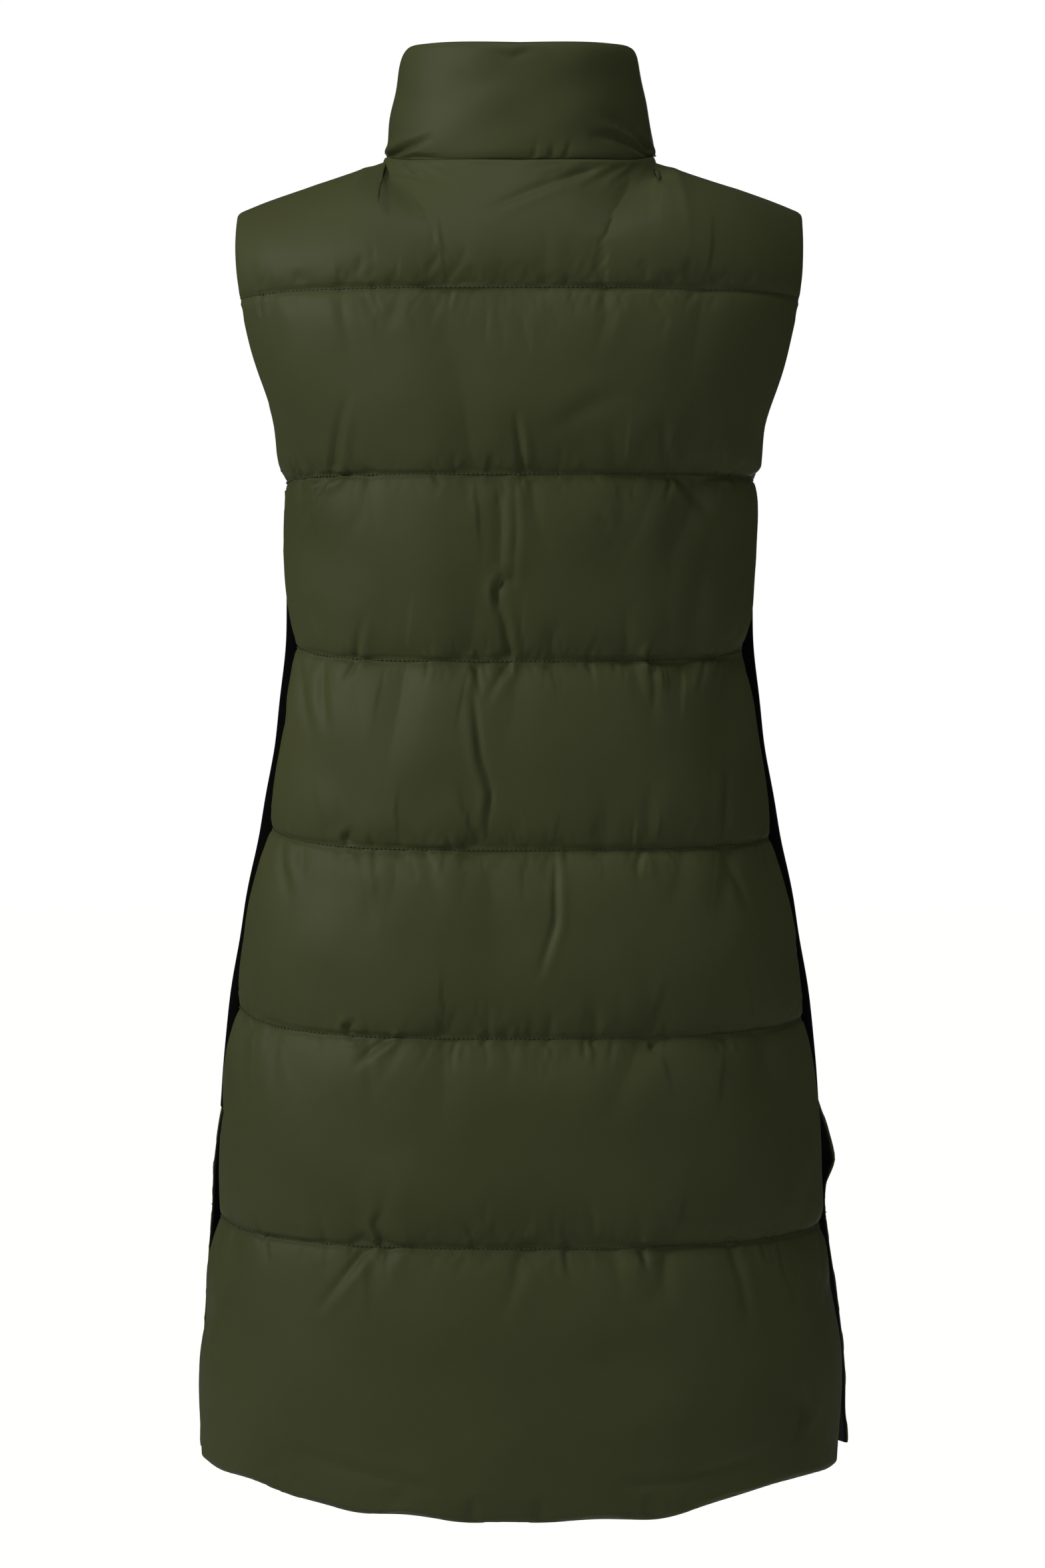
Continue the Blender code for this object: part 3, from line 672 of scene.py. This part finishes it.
# Seeded creases off the quilting lines: one every spacing along a line on average, with
# a typical depth and a range of half widths in millimetres, and a range of lengths.
Puckers = namedtuple("Puckers", "seed_step spacing depth widths lengths")
PUCKERS = (
    Puckers(0, 0.022, 1.9, (1.8, 3.5), (0.005, 0.024)),
    Puckers(5, 0.026, 1.6, (6.0, 11.0), (0.020, 0.055)),
    Puckers(9, 0.050, 2.6, (14.0, 24.0), (0.045, 0.100)),
)
YOKE_PUCKER = 0.3  # share of their depth above the yoke's quilting line


def puckered(cut, seed, kind):
    """One kind of puckers on a panel, as creases on (arc, height)."""
    random = np.random.default_rng(seed + kind.seed_step)
    made = []
    run = run_of(cut.points)
    middle = int(np.argmin(np.abs(cut.across)))
    for row, (channel, share) in enumerate(cut.places):
        if share != 1.0 or channel >= len(CHANNEL_ROWS):
            continue
        arc = run[row] - run[row, middle]
        for _ in range(int((arc[-1] - arc[0]) / kind.spacing)):
            at = random.uniform(arc[0], arc[-1])
            z = float(np.interp(at, arc, cut.points[row, :, 2]))
            way = random.choice((1.0, -1.0), p=(0.55, 0.45))
            depth = kind.depth * (YOKE_PUCKER if channel == 0 and way > 0 else 1.0)
            length = random.uniform(*kind.lengths)
            lean = random.normal(0.0, 0.22) + 0.3 * at / arc[-1] * way
            bend = random.normal(0.0, 0.12)
            steps = np.array(((0.0, 0.0), (lean * 0.5, way * 0.5), (lean + bend, way)))
            line = (np.array((at, z)) + steps * length) / MM
            depth *= random.uniform(0.3, 1.2)
            made.append(seam(depth, random.uniform(*kind.widths), *line))
    return made


def closed_mesh(name, corners, faces):
    """A closed mesh with its faces turned outwards, those of many corners cut up."""
    mesh = bpy.data.meshes.new(name)
    mesh.from_pydata(np.array(corners).tolist(), [], faces)
    builder = bmesh.new()
    builder.from_mesh(mesh)
    many = [face for face in builder.faces if len(face.verts) > MOST_CORNERS]
    bmesh.ops.triangulate(builder, faces=many)
    bmesh.ops.recalc_face_normals(builder, faces=builder.faces)
    builder.to_mesh(mesh)
    builder.free()
    return added(name, mesh)


def closed_piece(name, shell, backing, step):
    """One closed mesh of a fine shell, a backing with every step-th point, and the rim."""
    rows, columns = shell.shape[:2]
    low_rows, low_columns = backing.shape[:2]

    def outer(i, j):
        return i * columns + j

    def inner(i, j):
        return rows * columns + i * low_columns + j

    faces = [(outer(i, j), outer(i, j + 1), outer(i + 1, j + 1), outer(i + 1, j))
             for i in range(rows - 1) for j in range(columns - 1)]
    faces += [(inner(i, j), inner(i + 1, j), inner(i + 1, j + 1), inner(i, j + 1))
              for i in range(low_rows - 1) for j in range(low_columns - 1)]
    ring = ([(0, j) for j in range(low_columns)]
            + [(i, low_columns - 1) for i in range(1, low_rows)]
            + [(low_rows - 1, j) for j in range(low_columns - 2, -1, -1)]
            + [(i, 0) for i in range(low_rows - 2, 0, -1)])
    half = step // 2
    for (i, j), (k, m) in zip(ring, ring[1:] + ring[:1]):
        edge = [outer(i * step + (k - i) * s, j * step + (m - j) * s) for s in range(step + 1)]
        faces += [(edge[s], edge[s + 1], inner(i, j) if s < half else inner(k, m))
                  for s in range(step)]
        faces.append((inner(i, j), edge[half], inner(k, m)))
    corners = np.concatenate((shell.reshape(-1, 3), backing.reshape(-1, 3)))
    piece = closed_mesh(name, corners, faces)
    piece.data.shade_smooth()
    return piece


def prism_faces(base, count):
    """The faces of a prism whose two rings of corners follow each other from a base on."""
    walls = [(base + k, base + (k + 1) % count,
              base + count + (k + 1) % count, base + count + k) for k in range(count)]
    return [tuple(base + count - 1 - k for k in range(count)),
            tuple(base + count + k for k in range(count))] + walls


def finished(piece, material, node):
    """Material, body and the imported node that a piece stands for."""
    piece.data.materials.append(material)
    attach(piece, "vest")
    if node:
        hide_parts(node)
    return piece


def padded_panel(name, cut, creases, seed, material, node):
    """A quilted panel from its cut."""
    height = cut.crown * cut.amount
    uneven = 1 + 0.10 * waves(cut.points, seed + 1, 10, (0.05, 0.14))
    shell = cut.points + cut.normals * rolled(cut, height * 0.93 * uneven)[..., None]
    shell = blown_up(name + "_shell", cut, shell)
    shell = finer(shell)
    points = finer(cut.points)
    run = run_of(points)
    middle = int(np.argmin(np.abs(cut.across))) * 2
    arcs = np.stack((run - run[:, middle:middle + 1], points[..., 2]), axis=-1)
    relief = PANEL_RELIEF * crease_field(points[..., (0, 2)], creases)
    for kind in PUCKERS:
        relief += crease_field(arcs, puckered(cut, seed, kind))
    normals = finer(cut.normals)
    stand = ((shell - points) * normals).sum(axis=-1)
    inside = np.minimum(run, run[:, -1:] - run)
    relief *= np.clip(inside / SMOOTH_EDGE, 0.0, 1.0)
    relief = np.maximum(relief, -np.maximum(stand, 0.0) - DEEPEST)
    relief *= np.clip(stand / SMOOTH_SEAM, 0.0, 1.0)
    shell += normals * relief[..., None]
    depth = cut.wall + INNER_CROWN * cut.amount
    backing = (cut.points - cut.normals * depth[..., None])[::2, ::2]
    piece = finished(closed_piece(name, shell, backing, 4), material, node)


STITCH_PITCH = 3.2 * MM
STITCH_HALF_LENGTH = 1.2 * MM
STITCH_HALF_WIDTH = 0.28 * MM
STITCH_LEVELS = ((0.1 * MM, 1.0), (0.65 * MM, 0.7))  # height, and share of the length


def quilting(name, cut, material):
    """Lockstitch thread along a panel's lines: one bevelled block for each stitch."""
    corners, faces = [], []
    for row, (channel, share) in enumerate(cut.places):
        if share != 1.0 or channel >= len(CHANNEL_ROWS):
            continue
        line = cut.points[row]
        length = run_of(line)[-1]
        shares = np.arange(STITCH_PITCH, length - STITCH_PITCH, STITCH_PITCH) / length
        spots = spread(line, shares)
        outs = unit(spread(cut.normals[row], shares))
        ways = unit(np.gradient(spots, axis=0))
        for spot, out, way in zip(spots, outs, ways):
            side = np.cross(out, way)
            base = len(corners)
            for lift, reach in STITCH_LEVELS:
                for along, wide in ((-1, -1), (1, -1), (1, 1), (-1, 1)):
                    corners.append(spot + out * lift + way * along * STITCH_HALF_LENGTH * reach
                                   + side * wide * STITCH_HALF_WIDTH)
            faces += prism_faces(base, 4)
    mesh = bpy.data.meshes.new(name)
    mesh.from_pydata([tuple(corner) for corner in corners], [], faces)
    mesh.shade_smooth()
    finished(added(name, mesh), material, None)


def shell_cloth():
    """Satin olive polyester: slight mottling, fine weave and crinkle."""
    cloth = Shader("olive_satin_shell")
    place = cloth.node("TexCoord", out=3)
    mottle = cloth.node("TexNoise", Vector=place, Scale=9.0, Detail=3.0)
    olive = cloth.mottled(mottle, 0.86, (0.052, 0.059, 0.0205))
    weave = cloth.node("TexNoise", Vector=place, Scale=1300.0, Detail=1.0)
    crinkle = cloth.node("TexNoise", Vector=place, Scale=55.0, Detail=3.0, Roughness=0.55)
    bump = cloth.node("Bump", Strength=0.35, Distance=0.0006, Height=weave * 0.2 + crinkle)
    cloth.set(Base_Color=olive, Roughness=0.6, Normal=bump, Specular_IOR_Level=0.15)
    return cloth.material


def sewing_thread():
    """Olive polyester thread."""
    thread = Shader("olive_thread")
    place = thread.node("TexCoord", out=3)
    ply = thread.node("TexNoise", Vector=place, Scale=900.0)
    thread.set(Base_Color=thread.mottled(ply, 0.7, (0.040, 0.045, 0.020)), Roughness=0.7)
    return thread.material


SHELL = shell_cloth()
THREAD = sewing_thread()


# ================ back
# The back, with the creases that the cloth takes as it hangs.  Each has its depth, its
# half width and the (x, z) of its line, x to the wearer's right.

BACK_CREASES = (
    # yoke: drawn diagonally from the neck
    free(1.3, 5, (45, -8), (10, -24), (-23, -40)),
    free(1.2, 4, (52, -6), (30, -14)),
    free(1, 4, (-86, -6), (-63, -14)),
    # first channel
    seam(2.6, 5, (-126, -216), (-121, -190), (-113, -160)),
    seam(2, 4, (-139, -218), (-144, -198)),
    seam(2.4, 4, (2, -216), (0, -196), (-3, -175)),
    seam(1.8, 4.5, (101, -217), (96, -200), (94, -179)),
    seam(1.6, 3.5, (144, -218), (150, -206)),
    seam(1.6, 3.5, (158, -219), (166, -208)),
    free(0.9, 9, (68, -162), (46, -170), (23, -184)),
    # second channel
    seam(2.4, 5, (-129, -217), (-140, -236), (-152, -256)),
    free(1.4, 8, (-14, -220), (-12, -250), (-13, -284)),
    free(1, 5, (-4, -222), (-2, -252), (-4, -282)),
    free(2.2, 3.5, (-1, -283), (-10, -287), (-16, -294), (-14, -306)),
    seam(2.4, 4.5, (-7, -340), (-10, -318), (-16, -297)),
    seam(1.8, 4, (-111, -341), (-107, -326), (-102, -310)),
    seam(1.5, 5, (107, -217), (118, -232), (132, -249)),
    free(0.8, 5, (50, -243), (61, -254)),
    seam(3, 3, (89, -343), (87, -338), (91, -332)),
    # third channel
    seam(1.6, 4, (-111, -344), (-118, -361)),
    seam(2.2, 4, (-30, -344), (-26, -367)),
    seam(1.4, 4.5, (-9, -346), (-23, -372)),
    free(1.8, 4, (-31, -365), (-26, -409), (-19, -432), (-22, -463)),
    free(1.2, 4.5, (138, -415), (138, -466)),
    seam(1.4, 4.5, (89, -344), (90, -362), (89, -380)),
    free(1.4, 5, (-149, -345), (-144, -370), (-137, -395)),
    free(1.4, 5, (-134, -346), (-131, -368), (-126, -390)),
    seam(3, 3.2, (-114, -471), (-118, -464), (-111, -457)),
    # fourth channel
    free(1.5, 4, (24, -479), (24, -520), (13, -555)),
    free(1.3, 5, (-162, -465), (-160, -484), (-153, -506)),
    free(1, 5, (-148, -470), (-146, -490)),
    free(1, 5, (139, -480), (146, -498), (151, -515)),
    seam(2.8, 3.2, (-113, -598), (-117, -592), (-108, -587)),
    # fifth channel
    seam(2.2, 4.5, (-90, -599), (-100, -607), (-111, -619)),
    seam(2.4, 3.2, (91, -600), (88, -607)),
    seam(2.2, 4, (-92, -740), (-97, -724), (-88, -712)),
    # last channel
    seam(2, 5, (-104, -741), (-119, -764), (-135, -786)),
    seam(2, 3.5, (83, -741), (84, -754)),
    seam(1.2, 5, (142, -738), (148, -766), (154, -800)),
    seam(1, 3, (176, -737), (178, -762), (186, -786)),
    free(1.6, 5, (188, -846), (192, -860), (186, -874)),
    free(1.2, 4, (-192, -775), (-200, -800), (-204, -822)),
    free(1.2, 6, (70, -900), (115, -896), (165, -884)),
    free(1, 6, (-150, -880), (-100, -893), (-60, -901)),
)

back_cut = cut_panel(True)
padded_panel("vest_back", back_cut, BACK_CREASES, 11, SHELL, "back")
quilting("back_quilting", back_cut, THREAD)


# ================ fronts
# Two fronts, from the shoulder seams to the hem and from the side seams to the zip.
# They crease like the back, each in its own way.

LEFT_CREASES = (
    seam(1.8, 5, (-60, -222), (-55, -196), (-58, -170)),
    seam(1.6, 4.5, (-118, -221), (-112, -198)),
    seam(1.5, 6, (-46, -223), (-50, -252), (-46, -284)),
    seam(1.7, 4.5, (-100, -344), (-104, -322), (-98, -300)),
    seam(1.6, 5, (-66, -346), (-62, -380), (-68, -420)),
    seam(1.8, 4.5, (-120, -470), (-126, -445)),
    seam(1.4, 5, (-52, -473), (-56, -505), (-50, -545)),
    seam(1.8, 4.5, (-110, -597), (-118, -620)),
    seam(1.8, 4.5, (-75, -738), (-80, -712)),
    seam(1.6, 5, (-120, -740), (-130, -775)),
)
RIGHT_CREASES = (
    seam(1.8, 5, (72, -222), (68, -202), (74, -178)),
    seam(1.4, 4.5, (110, -221), (104, -204)),
    seam(1.5, 5, (86, -222), (94, -246), (90, -270)),
    seam(1.6, 5, (44, -345), (48, -316), (42, -290)),
    seam(1.8, 4.5, (108, -345), (112, -372)),
    free(1.3, 5, (58, -350), (54, -396), (60, -436)),
    seam(1.6, 5, (90, -472), (96, -498), (90, -530)),
    seam(1.8, 4.5, (130, -596), (124, -572)),
    seam(1.4, 5, (60, -600), (64, -636)),
    seam(1.6, 5, (126, -738), (118, -766), (124, -792)),
)

front_cuts = {side: cut_panel(False, side) for side in ("left", "right")}
for side, creases, seed in (("left", LEFT_CREASES, 23), ("right", RIGHT_CREASES, 37)):
    padded_panel("vest_front_" + side, front_cuts[side], creases, seed, SHELL, "front_" + side)
    quilting(f"front_{side}_quilting", front_cuts[side], THREAD)


# ================ side panels
# Under each arm a plain black knit panel joins back and front, from the armhole down to
# the vent.  Its near-black is painted shade: a dark sheet put where the sides only lie in
# shadow.  It isn't padded or lined.

SIDE_WALL = 2.0 * MM
SIDE_CROWN = 2.0 * MM
VENT_TOP = (4, 0.5)  # channel, and share of it from its top


def painted_shade_knit():
    """Black rib knit, its ribs upright, near-black as painted shade at the sides."""
    knit = Shader("painted_shade_side_knit")
    place = knit.node("TexCoord", out=3)
    ribs = knit.node("TexWave", {"bands_direction": "Y"}, out=1,
                     Vector=place, Scale=90.0, Distortion=0.6)
    fuzz = knit.node("TexNoise", Vector=place, Scale=700.0)
    bump = knit.node("Bump", Strength=0.5, Distance=0.0005, Height=ribs + fuzz * 0.4)
    # painted shade: a near-black colour standing in for the shadow at the sides
    black = knit.mottled(fuzz, 0.7, (0.0020, 0.0020, 0.0019))
    knit.set(Base_Color=black, Roughness=0.9, Normal=bump, Specular_IOR_Level=0.02)
    return knit.material


SHADE_KNIT = painted_shade_knit()


def add_shade_side(side, way):
    """One side panel as a thin closed sheet with a slight swell, its black painted shade."""
    rows = []
    last, last_share = VENT_TOP
    across = np.linspace(0.0, 1.0, 15)
    for number in range(1, last + 1):
        upper, lower = (getattr(line, side) for line in LINES[number:number + 2])
        shares = np.linspace(0.0, last_share if number == last else 1.0, 21)[1:]
        rows += list(upper + (lower - upper) * shares)
    points = []
    for z in rows:
        start, end = (math.radians(float(from_rings(edge, z)))
                      for edge in ("back_deg", "front_deg"))
        row = body_points(start + (end - start) * np.linspace(0.0, 1.0, 41), np.full(41, z))
        for tip, beside in ((0, 1), (-1, -2)):
            row[tip] += unit(row[beside] - row[tip]) * GAP / 2
        points.append(spread(row, across))
    points = np.array(points)
    out = ring_normals(points)
    swell = SIDE_CROWN * 4 * across * (1 - across) + 0.3 * MM * waves(points, 61, 8, (0.03, 0.08))
    mirror = np.array((way, 1.0, 1.0))
    shell = (points + out * (swell * np.minimum(1, 8 * across * (1 - across)))[..., None]) * mirror
    piece = closed_piece("vest_side_" + side, shell, (points - out * SIDE_WALL) * mirror, 1)
    # painted shade: the black knit fills the sides where there is only shadow
    finished(piece, SHADE_KNIT, "side_" + side)
    "vest_front_" + side


for side, way in (("left", -1.0), ("right", 1.0)):
    add_shade_side(side, way)


# ================ linings
# A thin dark lining hangs inside each panel, a hair behind its backing.

LINING_WALL = 1.0 * MM


def lining_cloth():
    """Black plain-weave lining."""
    cloth = Shader("black_lining")
    place = cloth.node("TexCoord", out=3)
    mottle = cloth.node("TexNoise", Vector=place, Scale=14.0, Detail=2.0)
    black = cloth.mottled(mottle, 0.7, (0.0050, 0.0044, 0.0052))
    weave = cloth.node("TexNoise", Vector=place, Scale=1600.0)
    bump = cloth.node("Bump", Strength=0.3, Distance=0.0003, Height=weave)
    cloth.set(Base_Color=black, Roughness=0.65, Normal=bump, Specular_IOR_Level=0.1)
    return cloth.material


LINING = lining_cloth()


def lining(name, cut, seed, node):
    """A thin closed sheet inside a panel, with a few soft waves."""
    soft = 0.35 * MM * (1 + waves(cut.points, seed, 8, (0.03, 0.10)).clip(-1, 1)) * cut.amount
    depth = cut.wall + INNER_CROWN * cut.amount + GAP + soft
    outer = (cut.points - cut.normals * depth[..., None])[::2, ::2]
    inner = outer - cut.normals[::2, ::2] * LINING_WALL
    piece = finished(closed_piece(name, inner, outer, 1), LINING, node)
    "vest_" + node.removeprefix("lining_")


lining("vest_lining_back", back_cut, 41, "lining_back")
for side, seed in (("left", 43), ("right", 47)):
    lining("vest_lining_" + side, front_cuts[side], seed,
           "lining_front_" + side)


# ================ collar
# One padded band round the neck, sewn to the neckline and open at the zip.

COLLAR_STATIONS = ((True, 90), (False, 76))  # along the back and along a front
COLLAR_TURNS = 80  # points round each section
COLLAR_RELIEF = 1.5
COLLAR_OUT = np.array((1.0, 1.2, 0.0))

# The section, from the seam up the outside and down the inside: share of the height, and
# how far in from the collar's line.
Stop = namedtuple("Stop", "height inset")
COLLAR_SECTION = (
    Stop(0.000, 1.5 * MM), Stop(0.030, 0.4 * MM), Stop(0.100, -0.4 * MM), Stop(0.300, -0.6 * MM),
    Stop(0.600, 0.2 * MM), Stop(0.850, 0.8 * MM), Stop(0.960, 2.6 * MM),
    Stop(1.000, 6.5 * MM), Stop(0.960, 11.0 * MM), Stop(0.850, 14.0 * MM),
    Stop(0.500, 15.0 * MM), Stop(0.090, 10.5 * MM), Stop(0.000, 4.5 * MM),
)
COLLAR_CREASES = (
    seam(3.4, 4.5, (92, 5), (80, 13), (68, 18), (48, 18)),
    seam(3, 4, (90, 12), (80, 21), (70, 27), (57, 33)),
    seam(3.2, 4, (-93, 6), (-80, 10), (-70, 13), (-58, 18)),
    free(2, 3.5, (-90, 2), (-74, 4), (-56, 2)),
    seam(0.9, 3, (10, 3), (12, 14)),
    seam(0.9, 3, (22, 3), (23, 12)),
    seam(0.8, 3, (32, 3), (36, 15)),
    free(1.1, 5, (-20, 76), (-6, 71), (10, 76)),
    free(0.5, 8, (-50, 60), (-30, 52), (-12, 54)),
)


def add_collar():
    """The collar as a closed bar of rounded sections, left zip edge to right."""
    feet, heads = [], []
    for is_back, stations in COLLAR_STATIONS:
        shares = np.linspace(0.0, 1.0, stations + 1)
        start = 0.0 if is_back else centre_angle(TOP.width, LOOP_ROUNDNESS)
        arc = np.linspace(start, math.radians(SHOULDER_DEG), 81)
        feet.append(top_row(is_back, shares * NECK_SHARE))
        heads.append(spread(loop_points(TOP, arc), shares))
    foot = np.concatenate((feet[0], feet[1][-2::-1]))
    head = np.concatenate((heads[0], heads[1][-2::-1]))
    turns = np.linspace(0.0, 1.0, COLLAR_TURNS + 1)[:-1]
    keys = np.linspace(0.0, 1.0, len(COLLAR_SECTION) + 1)
    closed = COLLAR_SECTION + COLLAR_SECTION[:1]
    height = smooth(keys, [stop.height for stop in closed], turns).clip(0.0, 1.0)[:, None]
    inset = smooth(keys, [stop.inset for stop in closed], turns)[:, None]
    foot = foot + np.array((0.0, 0.0, GAP))
    right = foot[:, None] * (1 - height) + head[:, None] * height
    right = right - unit(right * COLLAR_OUT) * inset
    right[-1, :, 0] = FRONT_EDGE_X + GAP
    left = (right * np.array((-1.0, 1.0, 1.0)))[:0:-1]
    grid = np.concatenate((left, right))
    outside = (turns < 0.5) * np.sin(np.clip(turns / 0.5, 0, 1) * math.pi) ** 0.3
    at_back = (grid[..., 1] < 0.0) * 1.0
    relief = COLLAR_RELIEF * crease_field(grid[..., (0, 2)], COLLAR_CREASES) * at_back
    relief += 0.7 * MM * waves(grid, 53, 10, (0.03, 0.09))
    grid = grid + unit(grid * COLLAR_OUT) * (relief * outside)[..., None]
    stations, around = grid.shape[:2]
    faces = [(i * around + j, i * around + (j + 1) % around,
              (i + 1) * around + (j + 1) % around, (i + 1) * around + j)
             for i in range(stations - 1) for j in range(around)]
    last = (stations - 1) * around
    faces += [tuple(range(around)), tuple(last + j for j in range(around - 1, -1, -1))]
    piece = closed_mesh("vest_collar", grid.reshape(-1, 3), faces)
    piece.data.shade_smooth()
    finished(piece, SHELL, "collar")


add_collar()


# ================ zip
# Woven tapes beside the front edges, interlocked teeth up to the slider, and the packed
# slider and pull with their edges eased.

ZIP_DEPTH = 1.6 * MM
TAPE_WALL = 0.6 * MM
CHAIN_WALL = 2.2 * MM
TOOTH_PITCH = 2.6 * MM
TOOTH = ((-1.1, -0.35), (-0.4, -0.58), (3.0, -0.50),
         (3.0, 0.50), (-0.4, 0.58), (-1.1, 0.35))  # outline: out from the centre and up, mm
CHAIN_SHARE = 0.86  # up the collar: the teeth stop at the slider
TAPE_SHARE = 0.97
TAPE_INNER = 2.3 * MM  # the teeth are clamped over the tapes' inner edges
METAL_EDGE = 0.22 * MM


def centre_front(share):
    """Centre front line from the hem to a share of the collar, and its way out."""
    low, high = (loop_points(loop, np.array([math.pi]))[0] for loop in (NECK, TOP))
    up = low + np.linspace(0.0, share, 13)[1:, None] * (high - low)
    line = np.concatenate((front_cuts["right"].points[:, 0], up))
    line[:, 0] = 0.0
    line = spread(line, np.linspace(0.0, 1.0, 241))
    along = np.gradient(line, axis=0)
    return line, unit(np.stack((0 * along[:, 0], along[:, 2], -along[:, 1]), axis=-1))


def zip_metal():
    """Dark nickel with faint wear."""
    metal = Shader("dark_zip_metal")
    place = metal.node("TexCoord", out=3)
    wear = metal.node("TexNoise", Vector=place, Scale=400.0, Detail=2.0)
    rough = metal.node("MapRange", _0=wear, _1=0.3, _2=0.7, _3=0.28, _4=0.45)
    metal.set(Base_Color=(0.060, 0.058, 0.052, 1.0), Metallic=1.0, Roughness=rough)
    return metal.material


def tape_cloth():
    """Dark woven zip tape."""
    tape = Shader("dark_zip_tape")
    place = tape.node("TexCoord", out=3)
    rib = tape.node("TexNoise", Vector=place, Scale=1500.0)
    bump = tape.node("Bump", Strength=0.4, Distance=0.0002, Height=rib)
    colour = tape.mottled(rib, 0.7, (0.020, 0.021, 0.014))
    tape.set(Base_Color=colour, Roughness=0.8, Normal=bump)
    return tape.material


METAL = zip_metal()
TAPE = tape_cloth()


def add_tape(side, way):
    """One zip tape, a thin strip from between its teeth to the front's edge."""
    line, out = centre_front(TAPE_SHARE)
    across = np.linspace(TAPE_INNER, FRONT_EDGE_X - GAP, 5)
    middle = line[:, None] - out[:, None] * ZIP_DEPTH
    middle = middle + across[None, :, None] * np.array((way, 0.0, 0.0))
    half = out[:, None] * TAPE_WALL / 2
    piece = closed_piece("tape_" + side, middle + half, middle - half, 1)
    finished(piece, TAPE, "zip_tape_" + side)
    "vest_front_" + side


def add_teeth():
    """Two rows of teeth that mesh at the centre line."""
    line, out = centre_front(CHAIN_SHARE)
    length = run_of(line)[-1]
    corners, faces = [], []
    for way, shift in ((1.0, 0.25), (-1.0, 0.75)):
        numbers = np.arange(int(length / TOOTH_PITCH) - 1) + shift
        shares = numbers * TOOTH_PITCH / length
        spots, outs = spread(line, shares), unit(spread(out, shares))
        for spot, face_out in zip(spots, outs):
            up = np.array((0.0, -face_out[2], face_out[1]))
            base = len(corners)
            for lift in (-1.0, 1.0):
                for x, z in TOOTH:
                    corners.append(spot + np.array((way * x * MM, 0.0, 0.0)) + up * z * MM
                                   + face_out * (lift * (CHAIN_WALL / 2 - 0.1 * MM) - ZIP_DEPTH))
            faces += prism_faces(base, len(TOOTH))
    finished(closed_mesh("zip_teeth", corners, faces), METAL, "zip_chain")


for side, way in (("left", -1.0), ("right", 1.0)):
    add_tape(side, way)
add_teeth()
for node in ("zip_slider", "zip_pull"):
    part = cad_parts[node]
    part.data.materials.clear()
    part.data.materials.append(METAL)
    ease = part.modifiers.new("eased", "BEVEL")
    ease.width = METAL_EDGE
    ease.segments = 2
    ease.limit_method = "ANGLE"
